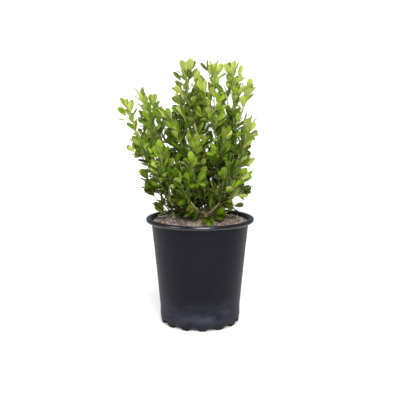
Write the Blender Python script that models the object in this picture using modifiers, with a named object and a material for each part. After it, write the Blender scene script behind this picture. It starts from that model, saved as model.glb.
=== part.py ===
"""A young boxwood shrub growing in a round plastic nursery pot.

Metres, +Z up. The origin is the centre of the pot's flat underside, and -Y is the side that faces the viewer.
Tables of places are in millimetres, because the plant is small.
"""

import math
import random

import bmesh
import bpy
from mathutils import Vector
from mathutils.bvhtree import BVHTree

MM = 0.001
CLEAR = 0.3 * MM  # gap kept between two solids that meet
MERGE = 0.01 * MM  # merge distance of the turned shapes

# Pot
POT_HEIGHT = 165 * MM
LIP_RADIUS = 84.4 * MM
LIP_DEPTH = 7.5 * MM
WALL_TOP_RADIUS = 75.5 * MM
WALL_LOW_RADIUS = 62.7 * MM
WALL_LOW_HEIGHT = 22 * MM
FOOT_RADIUS = 60.6 * MM
WALL = 1.7 * MM
FLOOR = 2.2 * MM
TURN_STEPS = 36
NOTCHES = 14
NOTCH_RADIUS = 9 * MM
NOTCH_DROP = 2 * MM  # the notch's centre lies this far below the ground
NOTCH_INNER = 50 * MM
NOTCH_SIDES = 8
FIRST_FOOT_DEG = -86  # turns one foot to just right of the front

# Soil
SOIL_TOP = 160 * MM
SOIL_FLAT_RADIUS = 54 * MM
SOIL_EDGE_DROP = 3.5 * MM

# Wood: the radius at each end of a stem, a bough, a leafy shoot and a side twig
STEM_RADII = (2.5 * MM, 1.7 * MM)
STEM_FLARE = 1.35  # how much wider a stem is at the soil
FLARE_HEIGHT = 3 * MM  # a stem stands upright this far, so that its foot is flat on the soil
BOUGH_RADII = (1.6 * MM, 1.15 * MM)
SHOOT_RADII = (1.1 * MM, 0.7 * MM)
TWIG_RADII = (0.9 * MM, 0.6 * MM)
STEM_SIDES = 8
BOUGH_SIDES = 6
TWIG_SIDES = 3
LIMB_PIECES = 4
SAG = 0.22  # how much a limb's middle hangs, as a share of how far out it reaches
START_STEP = 0.1 * MM
EDGE_POINTS = 8  # how many points of a limb's cut end are kept clear of its parent
FORK_SHARE = 0.12  # where a mass's other shoots leave its leader

# Side twigs of a leafy shoot
TWIG_SPACING = 68 * MM
TWIG_ZONE = (0.2, 0.7)  # the stretch of the shoot that they fork from
TWIG_TURN = 2.4
TWIG_SHARES = (0.26, 0.38)  # a twig's length, as a share of its shoot's
TWIG_LEAN = (0.75, 0.6, 0.25)  # how much a twig follows its shoot, its own side and the light

# Leaves
LEAF_LENGTH = 24 * MM
LEAF_WIDTH = 14 * MM
LEAF_THICKNESS = 0.8 * MM
LEAF_SIZES = (0.85, 1.12)
SHOULDERS = (0.55, 0.5)  # the outline's widest place: shares of the leaf's length and width
BLUNT_TIP = (0.96, 0.24)
ROOF = 0.5  # where the leaf is thickest, as a share of its length
DROOP = 0.04  # how far a leaf's tip bends down, as a share of its length
LEAF_ANGLES_DEG = (58, 30)  # from the shoot, at its foot and at its tip
LEAF_SINK = 0.1 * MM  # how far a leaf's root passes the middle of its twig
INTERNODE = 20 * MM
TOP_INTERNODE = 7 * MM
LOWEST_NODE = 6 * MM
TIP_SHARE = 0.985  # where the last pair sits, so that its roots stay within the twig
ANGLE_JITTER_DEG = 8
TURN_JITTER = 0.3

# Room: a leaf that can't be kept clear of its neighbours is tried again, a little turned and smaller
LEAF_PAD = 0.45 * MM  # room kept round a leaf
LEAF_TRIES = 7
RETRY_TURN = 0.2
RETRY_SHRINK = 0.04
BLADE_START = 0.2  # the share of a leaf nearest its root that may lie against its neighbours in the mass
SPACE_RADIUS = 46 * MM  # a mass keeps within this distance of its own leader
RIM_CLEARANCE = 1.5 * MM
RIM_INSIDE = 6 * MM

# Where each stem leaves the soil, and where it ends, in mm
STEMS = {
    "stem_front": ((10, 3), (7, 1, 173)),
    "stem_left": ((-41, 17), (-50, 9, 197)),
    "stem_centre": ((-9, 12), (-12, 5, 214)),
    "stem_right": ((24, 12), (30, 4, 212)),
    "stem_back_left": ((-20, 33), (-29, 41, 208)),
    "stem_back_right": ((11, 36), (15, 46, 208)),
}

# Each bough's stem, how far along it the bough leaves, and where the bough ends, in mm
BOUGHS = {
    "bough_front_left": ("stem_front", 0.85, (-14, -22, 191)),
    "bough_front_right": ("stem_front", 0.7, (29, -22, 190)),
    "bough_left_front": ("stem_left", 0.55, (-47, -16, 212)),
    "bough_left_mid": ("stem_left", 0.85, (-69, -1, 236)),
    "bough_left_high": ("stem_left", 1.0, (-65, 6, 262)),
    "bough_centre_front": ("stem_centre", 0.7, (-9, -28, 222)),
    "bough_top_left": ("stem_centre", 1.0, (-16, 0, 286)),
    "bough_top_mid": ("stem_right", 1.0, (24, -12, 276)),
    "bough_right_high": ("stem_right", 0.9, (53, 2, 280)),
    "bough_right_mid": ("stem_right", 0.65, (52, -4, 234)),
    "bough_back_left": ("stem_back_left", 1.0, (-42, 46, 260)),
    "bough_back_mid": ("stem_back_right", 1.0, (4, 50, 274)),
    "bough_back_right": ("stem_back_right", 0.85, (39, 46, 254)),
    "bough_back_low": ("stem_back_right", 0.55, (5, 66, 212)),
}

# Each mass of foliage: the limb that its leader leaves, how far along it, the mass's seed, and the tips
# in mm of the leader and of the shoots that fork from it
MASSES = {
    "foliage_left_outer": ("bough_left_mid", 1.0, 11, [(-108, -10, 329), (-93, -20, 282)]),
    "foliage_left_side": ("bough_left_mid", 0.8, 6, [(-93, 12, 262)]),
    "foliage_left_high": ("bough_left_high", 1.0, 12, [(-87, 0, 345), (-72, 12, 332)]),
    "foliage_left_low": ("stem_left", 0.7, 5, [(-78, -2, 221)]),
    "foliage_left_lowest": ("stem_left", 0.35, 10, [(-58, -4, 190)]),
    "foliage_left_back": ("stem_left", 0.6, 5, [(-74, 36, 236)]),
    "foliage_left_front": ("bough_left_front", 1.0, 6, [(-58, -45, 264), (-36, -42, 246)]),
    "foliage_centre_left": ("bough_top_left", 0.5, 12, [(-35, -36, 298)]),
    "foliage_gap_left": ("bough_top_left", 0.8, 9, [(-41, -8, 312)]),
    "foliage_top_left": ("bough_top_left", 1.0, 1, [(-20, 0, 381), (-6, 14, 362)]),
    "foliage_front_high": ("bough_centre_front", 1.0, 5, [(-4, -48, 290)]),
    "foliage_front_centre": ("bough_centre_front", 0.7, 3, [(-12, -64, 252)]),
    "foliage_front_left": ("bough_front_left", 1.0, 7, [(-30, -56, 230)]),
    "foliage_front_low": ("stem_front", 1.0, 1, [(7, -30, 212), (19, -30, 184), (-12, -26, 180)]),
    "foliage_front_right": ("bough_front_right", 1.0, 11, [(34, -54, 226)]),
    "foliage_right_lowest": ("bough_front_right", 0.8, 4, [(46, -13, 199)]),
    "foliage_centre_low": ("stem_centre", 0.15, 1, [(-34, -10, 192)]),
    "foliage_top_mid": ("bough_top_mid", 1.0, 1, [(20, 5, 384), (6, -24, 360)]),
    "foliage_centre_right": ("bough_top_mid", 0.5, 1, [(37, -44, 290)]),
    "foliage_top_right": ("bough_right_high", 1.0, 8, [(48, -5, 381), (71, 8, 347)]),
    "foliage_centre_deep": ("stem_right", 0.75, 1, [(12, -4, 256)]),
    "foliage_right_mid": ("bough_right_mid", 1.0, 6, [(74, -10, 301), (70, 14, 272)]),
    "foliage_right_front": ("bough_right_mid", 0.6, 11, [(43, -46, 248)]),
    "foliage_right_low": ("stem_right", 0.5, 9, [(64, -8, 223)]),
    "foliage_right_back": ("stem_right", 0.35, 9, [(57, 26, 213)]),
    "foliage_back_left_high": ("bough_back_left", 1.0, 1, [(-28, 42, 338), (-74, 48, 306)]),
    "foliage_back_left_low": ("bough_back_left", 0.4, 1, [(-58, 70, 250)]),
    "foliage_back_mid_high": ("bough_back_mid", 1.0, 1, [(2, 42, 362), (-6, 82, 318)]),
    "foliage_back_right_high": ("bough_back_right", 1.0, 1, [(44, 42, 346), (76, 44, 300)]),
    "foliage_back_right_low": ("bough_back_right", 0.4, 1, [(54, 70, 248)]),
    "foliage_back_low": ("bough_back_low", 1.0, 1, [(-6, 86, 250)]),
    "foliage_back_lowest": ("stem_back_left", 0.45, 1, [(-40, 62, 204)]),
}


class Limb:
    """A tapering stem, bough or twig: the points of its middle line and the radius at each."""

    def __init__(self, points, radii):
        self.points = points
        count = len(points) - 1
        self.radii = [radii[0] + (radii[1] - radii[0]) * i / count for i in range(count + 1)]
        self.middle = (points[0] + points[-1]) / 2
        self.reach = max((point - self.middle).length for point in points) + radii[0]

    def at(self, share):
        """The point a share of the way along, and the direction there."""
        place = share * (len(self.points) - 1)
        index = min(int(place), len(self.points) - 2)
        a, b = self.points[index], self.points[index + 1]
        return a.lerp(b, place - index), (b - a).normalized()

    def length(self):
        return sum((b - a).length for a, b in zip(self.points, self.points[1:]))

    def distance(self, point):
        """How far a point lies from the limb's skin, whose two ends are flat."""
        least = math.inf
        last = len(self.points) - 2
        for i, (a, b) in enumerate(zip(self.points, self.points[1:])):
            axis = b - a
            share = (point - a).dot(axis) / axis.length_squared
            inside = min(max(share, 0), 1)
            radius = self.radii[i] + (self.radii[i + 1] - self.radii[i]) * inside
            if (share < 0 and i == 0) or (share > 1 and i == last):
                beyond = abs(share - inside) * axis.length
                aside = max((point - a - axis * share).length - radius, 0)
                least = min(least, math.hypot(beyond, aside))
            else:
                least = min(least, (point - a - axis * inside).length - radius)
        return least


def millimetres(place):
    return Vector(place) * MM


def arc(start, end, count):
    """Points of a limb's middle line, which sets out more level than it ends."""
    out = math.hypot(end.x - start.x, end.y - start.y)
    control = (start + end) / 2 - Vector((0, 0, SAG * out))
    shares = [i / count for i in range(count + 1)]
    return [start * (1 - s) ** 2 + control * 2 * s * (1 - s) + end * s * s for s in shares]


def side_frame(direction):
    """Two directions square to a limb's own, the first one level."""
    level = direction.cross(Vector((0, 0, 1)))
    level = level.normalized() if level.length > 0.05 else Vector((1, 0, 0))
    return level, direction.cross(level).normalized()


def disc_edge(centre, direction, radius):
    level, other = side_frame(direction)
    turns = [math.tau * i / EDGE_POINTS for i in range(EDGE_POINTS)]
    return [centre + (level * math.cos(t) + other * math.sin(t)) * radius for t in turns]


def branch(parent, share, tip, radii, neighbours):
    """A limb that grows from a parent to tip, and starts just clear of the parent and its neighbours."""
    start = parent.at(share)[0]
    steps = round((tip - start).length / START_STEP)
    fine = arc(start, tip, steps)
    for first, point in enumerate(fine):
        direction = (fine[first + 1] - point).normalized()
        skin = [point, *disc_edge(point, direction, radii[0])]
        near = [n for n in neighbours if (n.middle - point).length < n.reach + 2 * radii[0]]
        if min(limb.distance(p) for limb in (parent, *near) for p in skin) >= CLEAR:
            break
    last = len(fine) - 1
    picked = [fine[round(first + (last - first) * k / LIMB_PIECES)] for k in range(LIMB_PIECES + 1)]
    return Limb(picked, radii)


def new_material(name, colour, roughness):
    material = bpy.data.materials.new(name)
    material.use_nodes = True
    shader = material.node_tree.nodes["Principled BSDF"]
    shader.inputs["Base Color"].default_value = (*colour, 1)
    shader.inputs["Roughness"].default_value = roughness
    shader.inputs["Metallic"].default_value = 0
    return material


def add_object(name, data, collection, material=None):
    obj = bpy.data.objects.new(name, data)
    collection.objects.link(obj)
    if material:
        data.materials.append(material)
    return obj


def turned(name, profile, collection, material):
    """A round shape, turned from (radius, height) points that run down its outer side."""
    mesh = bpy.data.meshes.new(name)
    edges = [(i, i + 1) for i in range(len(profile) - 1)]
    mesh.from_pydata([(radius, 0, height) for radius, height in profile], edges, [])
    obj = add_object(name, mesh, collection, material)
    screw = obj.modifiers.new("turn", "SCREW")
    screw.steps = screw.render_steps = TURN_STEPS
    screw.use_merge_vertices = True
    screw.merge_threshold = MERGE
    return obj


def wall_radius(height):
    """The outer radius of the pot's wall, which tapers down to a short upright band."""
    share = (height - WALL_LOW_HEIGHT) / (POT_HEIGHT - LIP_DEPTH - WALL_LOW_HEIGHT)
    return WALL_LOW_RADIUS + (WALL_TOP_RADIUS - WALL_LOW_RADIUS) * max(share, 0)


def pot_profile():
    under_lip = POT_HEIGHT - LIP_DEPTH
    crest = LIP_RADIUS - 4 * MM
    inner_top = wall_radius(under_lip) - WALL
    return [
        (0, FLOOR),
        (FOOT_RADIUS - WALL - 1 * MM, FLOOR),
        (WALL_LOW_RADIUS - WALL, WALL_LOW_HEIGHT),
        (inner_top, under_lip),
        (inner_top + 2.5 * MM, POT_HEIGHT - 2 * MM),
        (crest - 2 * MM, POT_HEIGHT - 0.3 * MM),
        (crest, POT_HEIGHT),
        (LIP_RADIUS - 1.4 * MM, POT_HEIGHT - 1.1 * MM),
        (LIP_RADIUS, POT_HEIGHT - 3.6 * MM),
        (LIP_RADIUS - 0.7 * MM, POT_HEIGHT - 5.6 * MM),
        (LIP_RADIUS - 3 * MM, POT_HEIGHT - 6.6 * MM),
        (wall_radius(under_lip), under_lip),
        (WALL_LOW_RADIUS, WALL_LOW_HEIGHT),
        (WALL_LOW_RADIUS, 9 * MM),
        (FOOT_RADIUS + 1.1 * MM, 3 * MM),
        (FOOT_RADIUS, 0),
        (0, 0),
    ]


def soil_profile():
    """The potting mix fills the pot, a hair clear of its wall and floor."""
    gap = WALL + CLEAR
    edge = SOIL_TOP - SOIL_EDGE_DROP
    return [
        (0, SOIL_TOP),
        (SOIL_FLAT_RADIUS, SOIL_TOP),
        (wall_radius(edge) - gap - 3 * MM, edge + 0.8 * MM),
        (wall_radius(edge) - gap, edge),
        (WALL_LOW_RADIUS - gap, WALL_LOW_HEIGHT),
        (FOOT_RADIUS - WALL - 1.4 * MM, FLOOR + CLEAR),
        (0, FLOOR + CLEAR),
    ]


def notch_cutters(collection):
    """Round bars that point at the pot's middle and cut the drain notches between its feet."""
    for i in range(NOTCHES):
        turn = math.radians(FIRST_FOOT_DEG) + math.tau * (i + 0.5) / NOTCHES
        reach = LIP_RADIUS - NOTCH_INNER
        middle = NOTCH_INNER + reach / 2
        place = (middle * math.cos(turn), middle * math.sin(turn), -NOTCH_DROP)
        bpy.ops.mesh.primitive_cylinder_add(
            vertices=NOTCH_SIDES,
            radius=NOTCH_RADIUS,
            depth=reach,
            location=place,
            rotation=(0, math.pi / 2, turn),
        )
        cutter = bpy.context.object
        cutter.name = f"notch_cutter_{i}"
        cutter.hide_render = True
        cutter.display_type = "WIRE"
        for owner in list(cutter.users_collection):
            owner.objects.unlink(cutter)
        collection.objects.link(cutter)


def make_pot(collection, cutters, material):
    pot = turned("pot", pot_profile(), collection, material)
    notch_cutters(cutters)
    cut = pot.modifiers.new("drain_notches", "BOOLEAN")
    cut.operation = "DIFFERENCE"
    cut.operand_type = "COLLECTION"
    cut.collection = cutters


def tube(name, limb, sides, collection, material=None):
    """A limb as a closed mesh, swept along its middle line."""
    curve = bpy.data.curves.new(name, "CURVE")
    curve.dimensions = "3D"
    curve.use_fill_caps = True
    if sides == TWIG_SIDES:
        curve.bevel_mode = "OBJECT"
        curve.bevel_object = bpy.data.objects["twig_section"]
    else:
        curve.bevel_depth = MM
        curve.bevel_resolution = sides // 2 - 2
    spline = curve.splines.new("POLY")
    spline.points.add(len(limb.points) - 1)
    for point, place, radius in zip(spline.points, limb.points, limb.radii):
        point.co = (*place, 1)
        point.radius = radius / MM
    swept = add_object(name + "_line", curve, collection)
    graph = bpy.context.evaluated_depsgraph_get()
    mesh = bpy.data.meshes.new_from_object(swept.evaluated_get(graph))
    bpy.data.objects.remove(swept)
    shell = bmesh.new()
    shell.from_mesh(mesh)
    bmesh.ops.remove_doubles(shell, verts=shell.verts, dist=MERGE)
    bmesh.ops.recalc_face_normals(shell, faces=shell.faces)
    shell.to_mesh(mesh)
    shell.free()
    mesh.shade_smooth()
    mesh.name = name
    return add_object(name, mesh, collection, material)


def twig_section(collection):
    """The three-cornered outline that thin twigs are swept with, one millimetre in radius."""
    curve = bpy.data.curves.new("twig_section", "CURVE")
    spline = curve.splines.new("POLY")
    spline.points.add(TWIG_SIDES - 1)
    for i, point in enumerate(spline.points):
        turn = math.tau * i / TWIG_SIDES
        point.co = (math.cos(turn) * MM, math.sin(turn) * MM, 0, 1)
    spline.use_cyclic_u = True
    section = add_object("twig_section", curve, collection)
    section.hide_render = True


class Leaf:
    """One leaf: where it is rooted, how it points and faces, and its size."""

    def __init__(self, root, along, face, length, width):
        self.root, self.along, self.face = root, along, face
        self.across = face.cross(along).normalized()
        self.length, self.width = length, width
        self.middle = root + along * length / 2

    def place(self, along, across, up):
        """The point at these shares of the leaf's length and width, raised by up."""
        flat = self.along * along * self.length + self.across * across * self.width
        return self.root + flat + self.face * up

    def corners(self, start=0, pad=0):
        """The outline's root, shoulders and blunt tip, then the top of the leaf's low roof."""
        wider = 1 + 2 * pad / self.width
        (wide_at, wide), (tip_at, tip) = SHOULDERS, BLUNT_TIP
        left = [(wide_at, -wide, 0), (tip_at, -tip, DROOP)]
        right = [(tip_at, tip, DROOP), (wide_at, wide, 0)]
        rim = [(start, 0, 0), *left, *right]
        ring = [self.place(a, c * wider, -pad - d * self.length) for a, c, d in rim]
        return [*ring, self.place(ROOF, 0, LEAF_THICKNESS + pad)]

    def faces(self):
        ring = [(i, (i + 1) % 5, 5) for i in range(5)]
        return ring + [(0, 4, 1), (1, 4, 2), (2, 4, 3)]

    def skin(self, start):
        return Skin(self.corners(start, LEAF_PAD), self.faces())


class Skin:
    """A closed surface that can be tried for overlap with another, and the ball that holds it."""

    def __init__(self, points, faces):
        self.tree = BVHTree.FromPolygons(points, faces)
        self.middle = sum(points, Vector()) / len(points)
        self.reach = max((point - self.middle).length for point in points)

    def meets(self, other):
        if (self.middle - other.middle).length > self.reach + other.reach:
            return False
        return bool(self.tree.overlap(other.tree))


def mesh_skin(mesh):
    return Skin([v.co.copy() for v in mesh.vertices], [tuple(p.vertices) for p in mesh.polygons])


class Crown:
    """What has grown so far, so that what comes next can keep clear of it."""

    def __init__(self):
        self.wood = []  # (limb or mass name, skin)
        self.leaves = []  # (mass name, whole skin, blade's skin)

    def wood_is_clear(self, name, skin):
        return not any(owner != name and skin.meets(other) for owner, other in self.wood)

    def add_leaf(self, name, leaf):
        """Takes the leaf in if it is clear of all the rest, and says whether it was."""
        whole, blade = leaf.skin(0), leaf.skin(BLADE_START)
        for owner, other_whole, other_blade in self.leaves:
            if blade.meets(other_blade) if owner == name else whole.meets(other_whole):
                return False
        if not self.wood_is_clear(name, whole):
            return False
        self.leaves.append((name, whole, blade))
        return True


def clears_pot(points):
    """True if points are above the rim, or over the soil inside it."""
    above = POT_HEIGHT + RIM_CLEARANCE
    inside = WALL_TOP_RADIUS - RIM_INSIDE
    over_soil = SOIL_TOP + CLEAR
    return all(p.z > above or (p.z > over_soil and math.hypot(p.x, p.y) < inside) for p in points)


def nodes(shoot):
    """Where a shoot's leaf pairs sit, as shares of its length. The two at its tip are close together."""
    length = shoot.length()
    reached = length * TIP_SHARE
    places = [reached, reached - TOP_INTERNODE]
    count = max(0, round((places[-1] - LOWEST_NODE) / INTERNODE - 0.2))
    gap = (places[-1] - LOWEST_NODE) / max(count, 1)
    places += [places[-1] - gap * (i + 1) for i in range(count)]
    return [place / length for place in places if place > 0]


def leaf_at(shoot, share, turn, size, rng):
    """A leaf that leaves the shoot on one side, its upper face turned to the shoot's tip."""
    point, direction = shoot.at(share)
    level, other = side_frame(direction)
    side = level * math.cos(turn) + other * math.sin(turn)
    low, high = LEAF_ANGLES_DEG
    jitter = rng.uniform(-ANGLE_JITTER_DEG, ANGLE_JITTER_DEG)
    angle = math.radians(low + (high - low) * share**2 + jitter)
    along = direction * math.cos(angle) + side * math.sin(angle)
    face = direction * math.sin(angle) - side * math.cos(angle)
    return Leaf(point - along * LEAF_SINK, along, face, LEAF_LENGTH * size, LEAF_WIDTH * size)


def grow_leaves(name, shoots, crown, rng):
    """A mass's leaves, in crossed pairs. One that can't be kept clear in a few tries is left out."""
    kept = []
    for shoot in shoots:
        first = rng.uniform(0, math.pi)
        for i, share in enumerate(nodes(shoot)):
            for half in (0, math.pi):
                turn = first + i * math.pi / 2 + half + rng.uniform(-TURN_JITTER, TURN_JITTER)
                size = rng.uniform(*LEAF_SIZES)
                for attempt in range(LEAF_TRIES):
                    nudge = rng.uniform(-RETRY_TURN, RETRY_TURN) * attempt
                    shrunk = size * (1 - RETRY_SHRINK * attempt)
                    leaf = leaf_at(shoot, share, turn + nudge, shrunk, rng)
                    near = shoots[0].distance(leaf.middle) < SPACE_RADIUS
                    if near and clears_pot(leaf.corners(0, LEAF_PAD)) and crown.add_leaf(name, leaf):
                        kept.append(leaf)
                        break
    return kept


def side_twigs(shoot, rng):
    """Twigs that fork off a shoot, each on another side than the last."""
    length = shoot.length()
    count = round(length / TWIG_SPACING)
    first = rng.uniform(0, math.tau)
    for i in range(count):
        low, high = TWIG_ZONE
        share = low + (high - low) * (i + rng.uniform(0, 0.5)) / count
        point, direction = shoot.at(share)
        level, other = side_frame(direction)
        turn = first + i * TWIG_TURN
        side = level * math.cos(turn) + other * math.sin(turn)
        reach = length * rng.uniform(*TWIG_SHARES)
        onward, aside, upward = TWIG_LEAN
        tip = point + (direction * onward + side * aside + Vector((0, 0, upward))) * reach
        yield Limb(arc(point, tip, 2), TWIG_RADII)


def grow_wood(collection, bark, crown):
    """Stems and boughs, each its own solid. Returns them by name."""
    limbs = {}
    foot_z = SOIL_TOP + CLEAR
    for name, (foot, tip) in STEMS.items():
        start = Vector((foot[0] * MM, foot[1] * MM, foot_z))
        above = start + Vector((0, 0, FLARE_HEIGHT))
        limb = Limb([start, *arc(above, millimetres(tip), LIMB_PIECES)], STEM_RADII)
        limb.radii[0] *= STEM_FLARE
        limbs[name] = limb
    for name, (stem, share, tip) in BOUGHS.items():
        limbs[name] = branch(limbs[stem], share, millimetres(tip), BOUGH_RADII, limbs.values())
    for name, limb in limbs.items():
        solid = tube(name, limb, STEM_SIDES if name in STEMS else BOUGH_SIDES, collection, bark)
        crown.wood.append((name, mesh_skin(solid.data)))
    return limbs


def grow_shoots(limbs, crown, scrap):
    """Every mass's leader, forks and side twigs, as limbs and as loose solids."""
    masses = {}
    wood = list(limbs.values())
    for name, (limb, share, seed, tips) in MASSES.items():
        leader = branch(limbs[limb], share, millimetres(tips[0]), SHOOT_RADII, wood)
        fork = leader.at(FORK_SHARE)[0]
        forks = [Limb(arc(fork, millimetres(tip), LIMB_PIECES), SHOOT_RADII) for tip in tips[1:]]
        shoots = [leader, *forks]
        wood += shoots
        solids = [tube(name, shoot, TWIG_SIDES, scrap) for shoot in shoots]
        crown.wood += [(name, mesh_skin(solid.data)) for solid in solids]
        masses[name] = (random.Random(seed), shoots, solids)
    for name, (rng, shoots, solids) in masses.items():
        for twig in [twig for shoot in shoots for twig in side_twigs(shoot, rng)]:
            solid = tube(name, twig, TWIG_SIDES, scrap)
            skin = mesh_skin(solid.data)
            if clears_pot([v.co for v in solid.data.vertices]) and crown.wood_is_clear(name, skin):
                crown.wood.append((name, skin))
                shoots.append(twig)
                solids.append(solid)
            else:
                bpy.data.objects.remove(solid)
    return masses


def leaf_solid(name, leaf, collection):
    mesh = bpy.data.meshes.new(name)
    mesh.from_pydata(leaf.corners(), [], leaf.faces())
    return add_object(name, mesh, collection)


def fuse(name, first, others, collection, material):
    """Joins a mass's twigs and leaves into one solid."""
    joined = new_collection(name + "_pieces")
    for piece in others:
        for owner in list(piece.users_collection):
            owner.objects.unlink(piece)
        joined.objects.link(piece)
    union = first.modifiers.new("fuse", "BOOLEAN")
    union.operation = "UNION"
    union.operand_type = "COLLECTION"
    union.collection = joined
    graph = bpy.context.evaluated_depsgraph_get()
    mesh = bpy.data.meshes.new_from_object(first.evaluated_get(graph))
    for piece in (*joined.objects, first):
        bpy.data.objects.remove(piece)
    bpy.data.collections.remove(joined)
    mesh.name = name
    mesh.materials.clear()
    add_object(name, mesh, collection, material)


def new_collection(name):
    collection = bpy.data.collections.new(name)
    bpy.context.scene.collection.children.link(collection)
    return collection


def main():
    for obj in list(bpy.data.objects):
        bpy.data.objects.remove(obj)
    plant = new_collection("potted_boxwood")
    cutters = new_collection("cutters")
    scrap = new_collection("scrap")

    plastic = new_material("pot_plastic", (0.022, 0.022, 0.030), 0.42)
    mix = new_material("potting_mix", (0.10, 0.075, 0.05), 0.95)
    bark = new_material("green_bark", (0.20, 0.19, 0.07), 0.7)
    green = new_material("boxwood_leaf", (0.13, 0.23, 0.03), 0.45)

    twig_section(scrap)
    crown = Crown()
    limbs = grow_wood(plant, bark, crown)
    masses = grow_shoots(limbs, crown, scrap)
    for name, (rng, shoots, solids) in masses.items():
        leaves = grow_leaves(name, shoots, crown, rng)
        solids += [leaf_solid(name, leaf, scrap) for leaf in leaves]
        fuse(name, solids[0], solids[1:], plant, green)

    turned("soil", soil_profile(), plant, mix)
    make_pot(plant, cutters, plastic)


main()
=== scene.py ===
"""The looks of the potted boxwood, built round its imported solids.

Metres, +Z up, in the row frame. The stems, boughs and leafy shoots grow by the same rule and from the
same tables as the solids, and carry finer twigs and leaves. Tables of places are in millimetres.
"""

import math
import random
from math import cos, hypot, pi, sin, tau

import bpy
import numpy as np
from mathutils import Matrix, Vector, noise
from mathutils.bvhtree import BVHTree


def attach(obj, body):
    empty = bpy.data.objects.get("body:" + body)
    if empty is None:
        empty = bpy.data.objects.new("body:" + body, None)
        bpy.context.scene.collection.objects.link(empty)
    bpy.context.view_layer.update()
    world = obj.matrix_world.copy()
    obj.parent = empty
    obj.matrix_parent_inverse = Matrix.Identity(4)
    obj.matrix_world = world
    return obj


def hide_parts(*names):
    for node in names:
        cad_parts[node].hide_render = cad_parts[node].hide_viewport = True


MM = 0.001
UP = Vector((0, 0, 1))

# Camera: as far off and as high as the photograph's, with its field of view
CAMERA_PLACE = (0, -0.948, 0.3345)
CAMERA_PITCH_DEG = 8.6
CAMERA_LENS = 55.6

# Lights: place, target, size and power in watts. The floor's profile (y, z) rises to a backdrop.
LIGHTS = {
    "top_softbox": ((0.14, -0.5, 1.65), (0, 0, 0.25), (0.6, 0.5), 15),
    "front_softbox": ((0.14, -1.45, 1.1), (0, 0, 0.22), (0.7, 0.26), 25),
    "left_softbox": ((-1.2, -0.7, 1.0), (0, 0, 0.25), (0.6, 0.9), 8),
    "backdrop_light": ((0.0, 1.5, 2.4), (0, 2.7, 0.7), (4.0, 0.8), 76),
}
WORLD_STRENGTH = 0.36
FLOOR_PROFILE = ((-3.0, 0), (1.6, 0), (2.0, 0.05), (2.35, 0.2), (2.6, 0.5), (2.7, 0.9), (2.7, 3.5))
FLOOR_HALF_WIDTH, BACKDROP_HALF_WIDTH = 4, 1.4
FLOOR_GREYS = ((0.3, (0.86, 0.86, 0.86)), (0.7, (0.9, 0.9, 0.9)))

# Pot
POT_HEIGHT = 165 * MM
LIP_RADIUS = 84.4 * MM
UNDER_LIP = POT_HEIGHT - 7.5 * MM
CREST_RADIUS = LIP_RADIUS - 4 * MM
WORN_DEPTH = 0.8 * MM
WALL_TOP_RADIUS = 75.5 * MM
WALL_LOW_RADIUS = 62.7 * MM
WALL_LOW_HEIGHT = 22 * MM
FOOT_RADIUS = 60.6 * MM
FOOT_ROLL = 3 * MM
FOOT_SWELL = 1.1 * MM
WALL = 1.7 * MM
FLOOR = 2.2 * MM
FLOOR_INSET = 0.7 * MM
STEP_HEIGHT = 128 * MM
STEP_DEPTH = 0.3 * MM
STEP_SOFTNESS = 0.35 * MM
NOTCHES = 14
NOTCH_RADIUS = 9 * MM
NOTCH_DROP = 2 * MM
NOTCH_INNER = 50 * MM
FIRST_FOOT_DEG = -86
NOTCH_COLUMNS = 20
FOOT_COLUMNS = 10
ARCH_POWER = 2.1
FOOT_ROUNDING = 2.0 * MM
CREASE_HEIGHT = 9.7 * MM
CREASE_DEPTH = 0.75 * MM
CREASE_SOFTNESS = 0.16 * MM
HALF_NOTCH = math.sqrt(NOTCH_RADIUS**2 - NOTCH_DROP**2)

# The pot's section in mm: the lip's points, as how far in from its edge and down from its top, the rows
# above and below the wall's step, and the rows lower down by height. FOOT_ROWS are shares of the way from
# the last of them to the foot's edge, whose own points are how far in and up they lie.
LIP_POINTS = [(9.6, 4.9), (8.6, 2.6), (7.4, 1.3), (6.2, 0.45), (4.8, 0.08), (3.4, 0.04), (2.2, 0.45)]
LIP_POINTS += [(1.1, 1.25), (0.4, 2.35), (0, 3.6), (0.1, 4.7), (0.6, 5.6), (1.6, 6.2), (3, 6.6)]
LIP_POINTS += [(6.7, 6.95), (8.1, 7.4), (8.9, 8.4)]
STEP_ROWS = (1, 0.5, 0, -0.5, -1, -2)
LOW_ROWS = (22, 20, 17, 14, 12)
CREASE_ROWS = (11, 10.5, 10.15, 9.9, 9.7, 9.5, 9.25, 8.9)
FOOT_ROWS = (0.25, 0.5, 0.75, 0.92, 1)
FOOT_EDGE_ROLL = ((0.12, 0.15), (0.5, 0), (1.2, 0), (1.58, 0.15))

# The pot's plastics by plastic_slot's numbers: colour, gloss and least roughness, and the dried dust
PLASTICS = {
    "wall": ((0.0034, 0.0033, 0.0082), 0.13, 0.46),
    "lip": ((0.0026, 0.0026, 0.0076), 0.64, 0.2),
    "worn": ((0.0055, 0.0055, 0.0100), 0.1, 0.62),
}
DUST = (0.037, 0.039, 0.055)

# Soil
SOIL_TOP = 160 * MM
SOIL_FLAT_RADIUS = 54 * MM
SOIL_EDGE_DROP = 0.9 * MM
SOIL_RINGS = 56
SOIL_TURNS = 200
SOIL_EDGE_POWER = 1.5
SOIL_FOOT_INSET = 1.4 * MM

# The mix's lumps, as how fine and how high in mm, and how far in mm they lie below its top
SOIL_LUMPS = ((60, 1.1), (170, 0.7), (420, 0.4))
SOIL_SINK = 0.35

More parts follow.
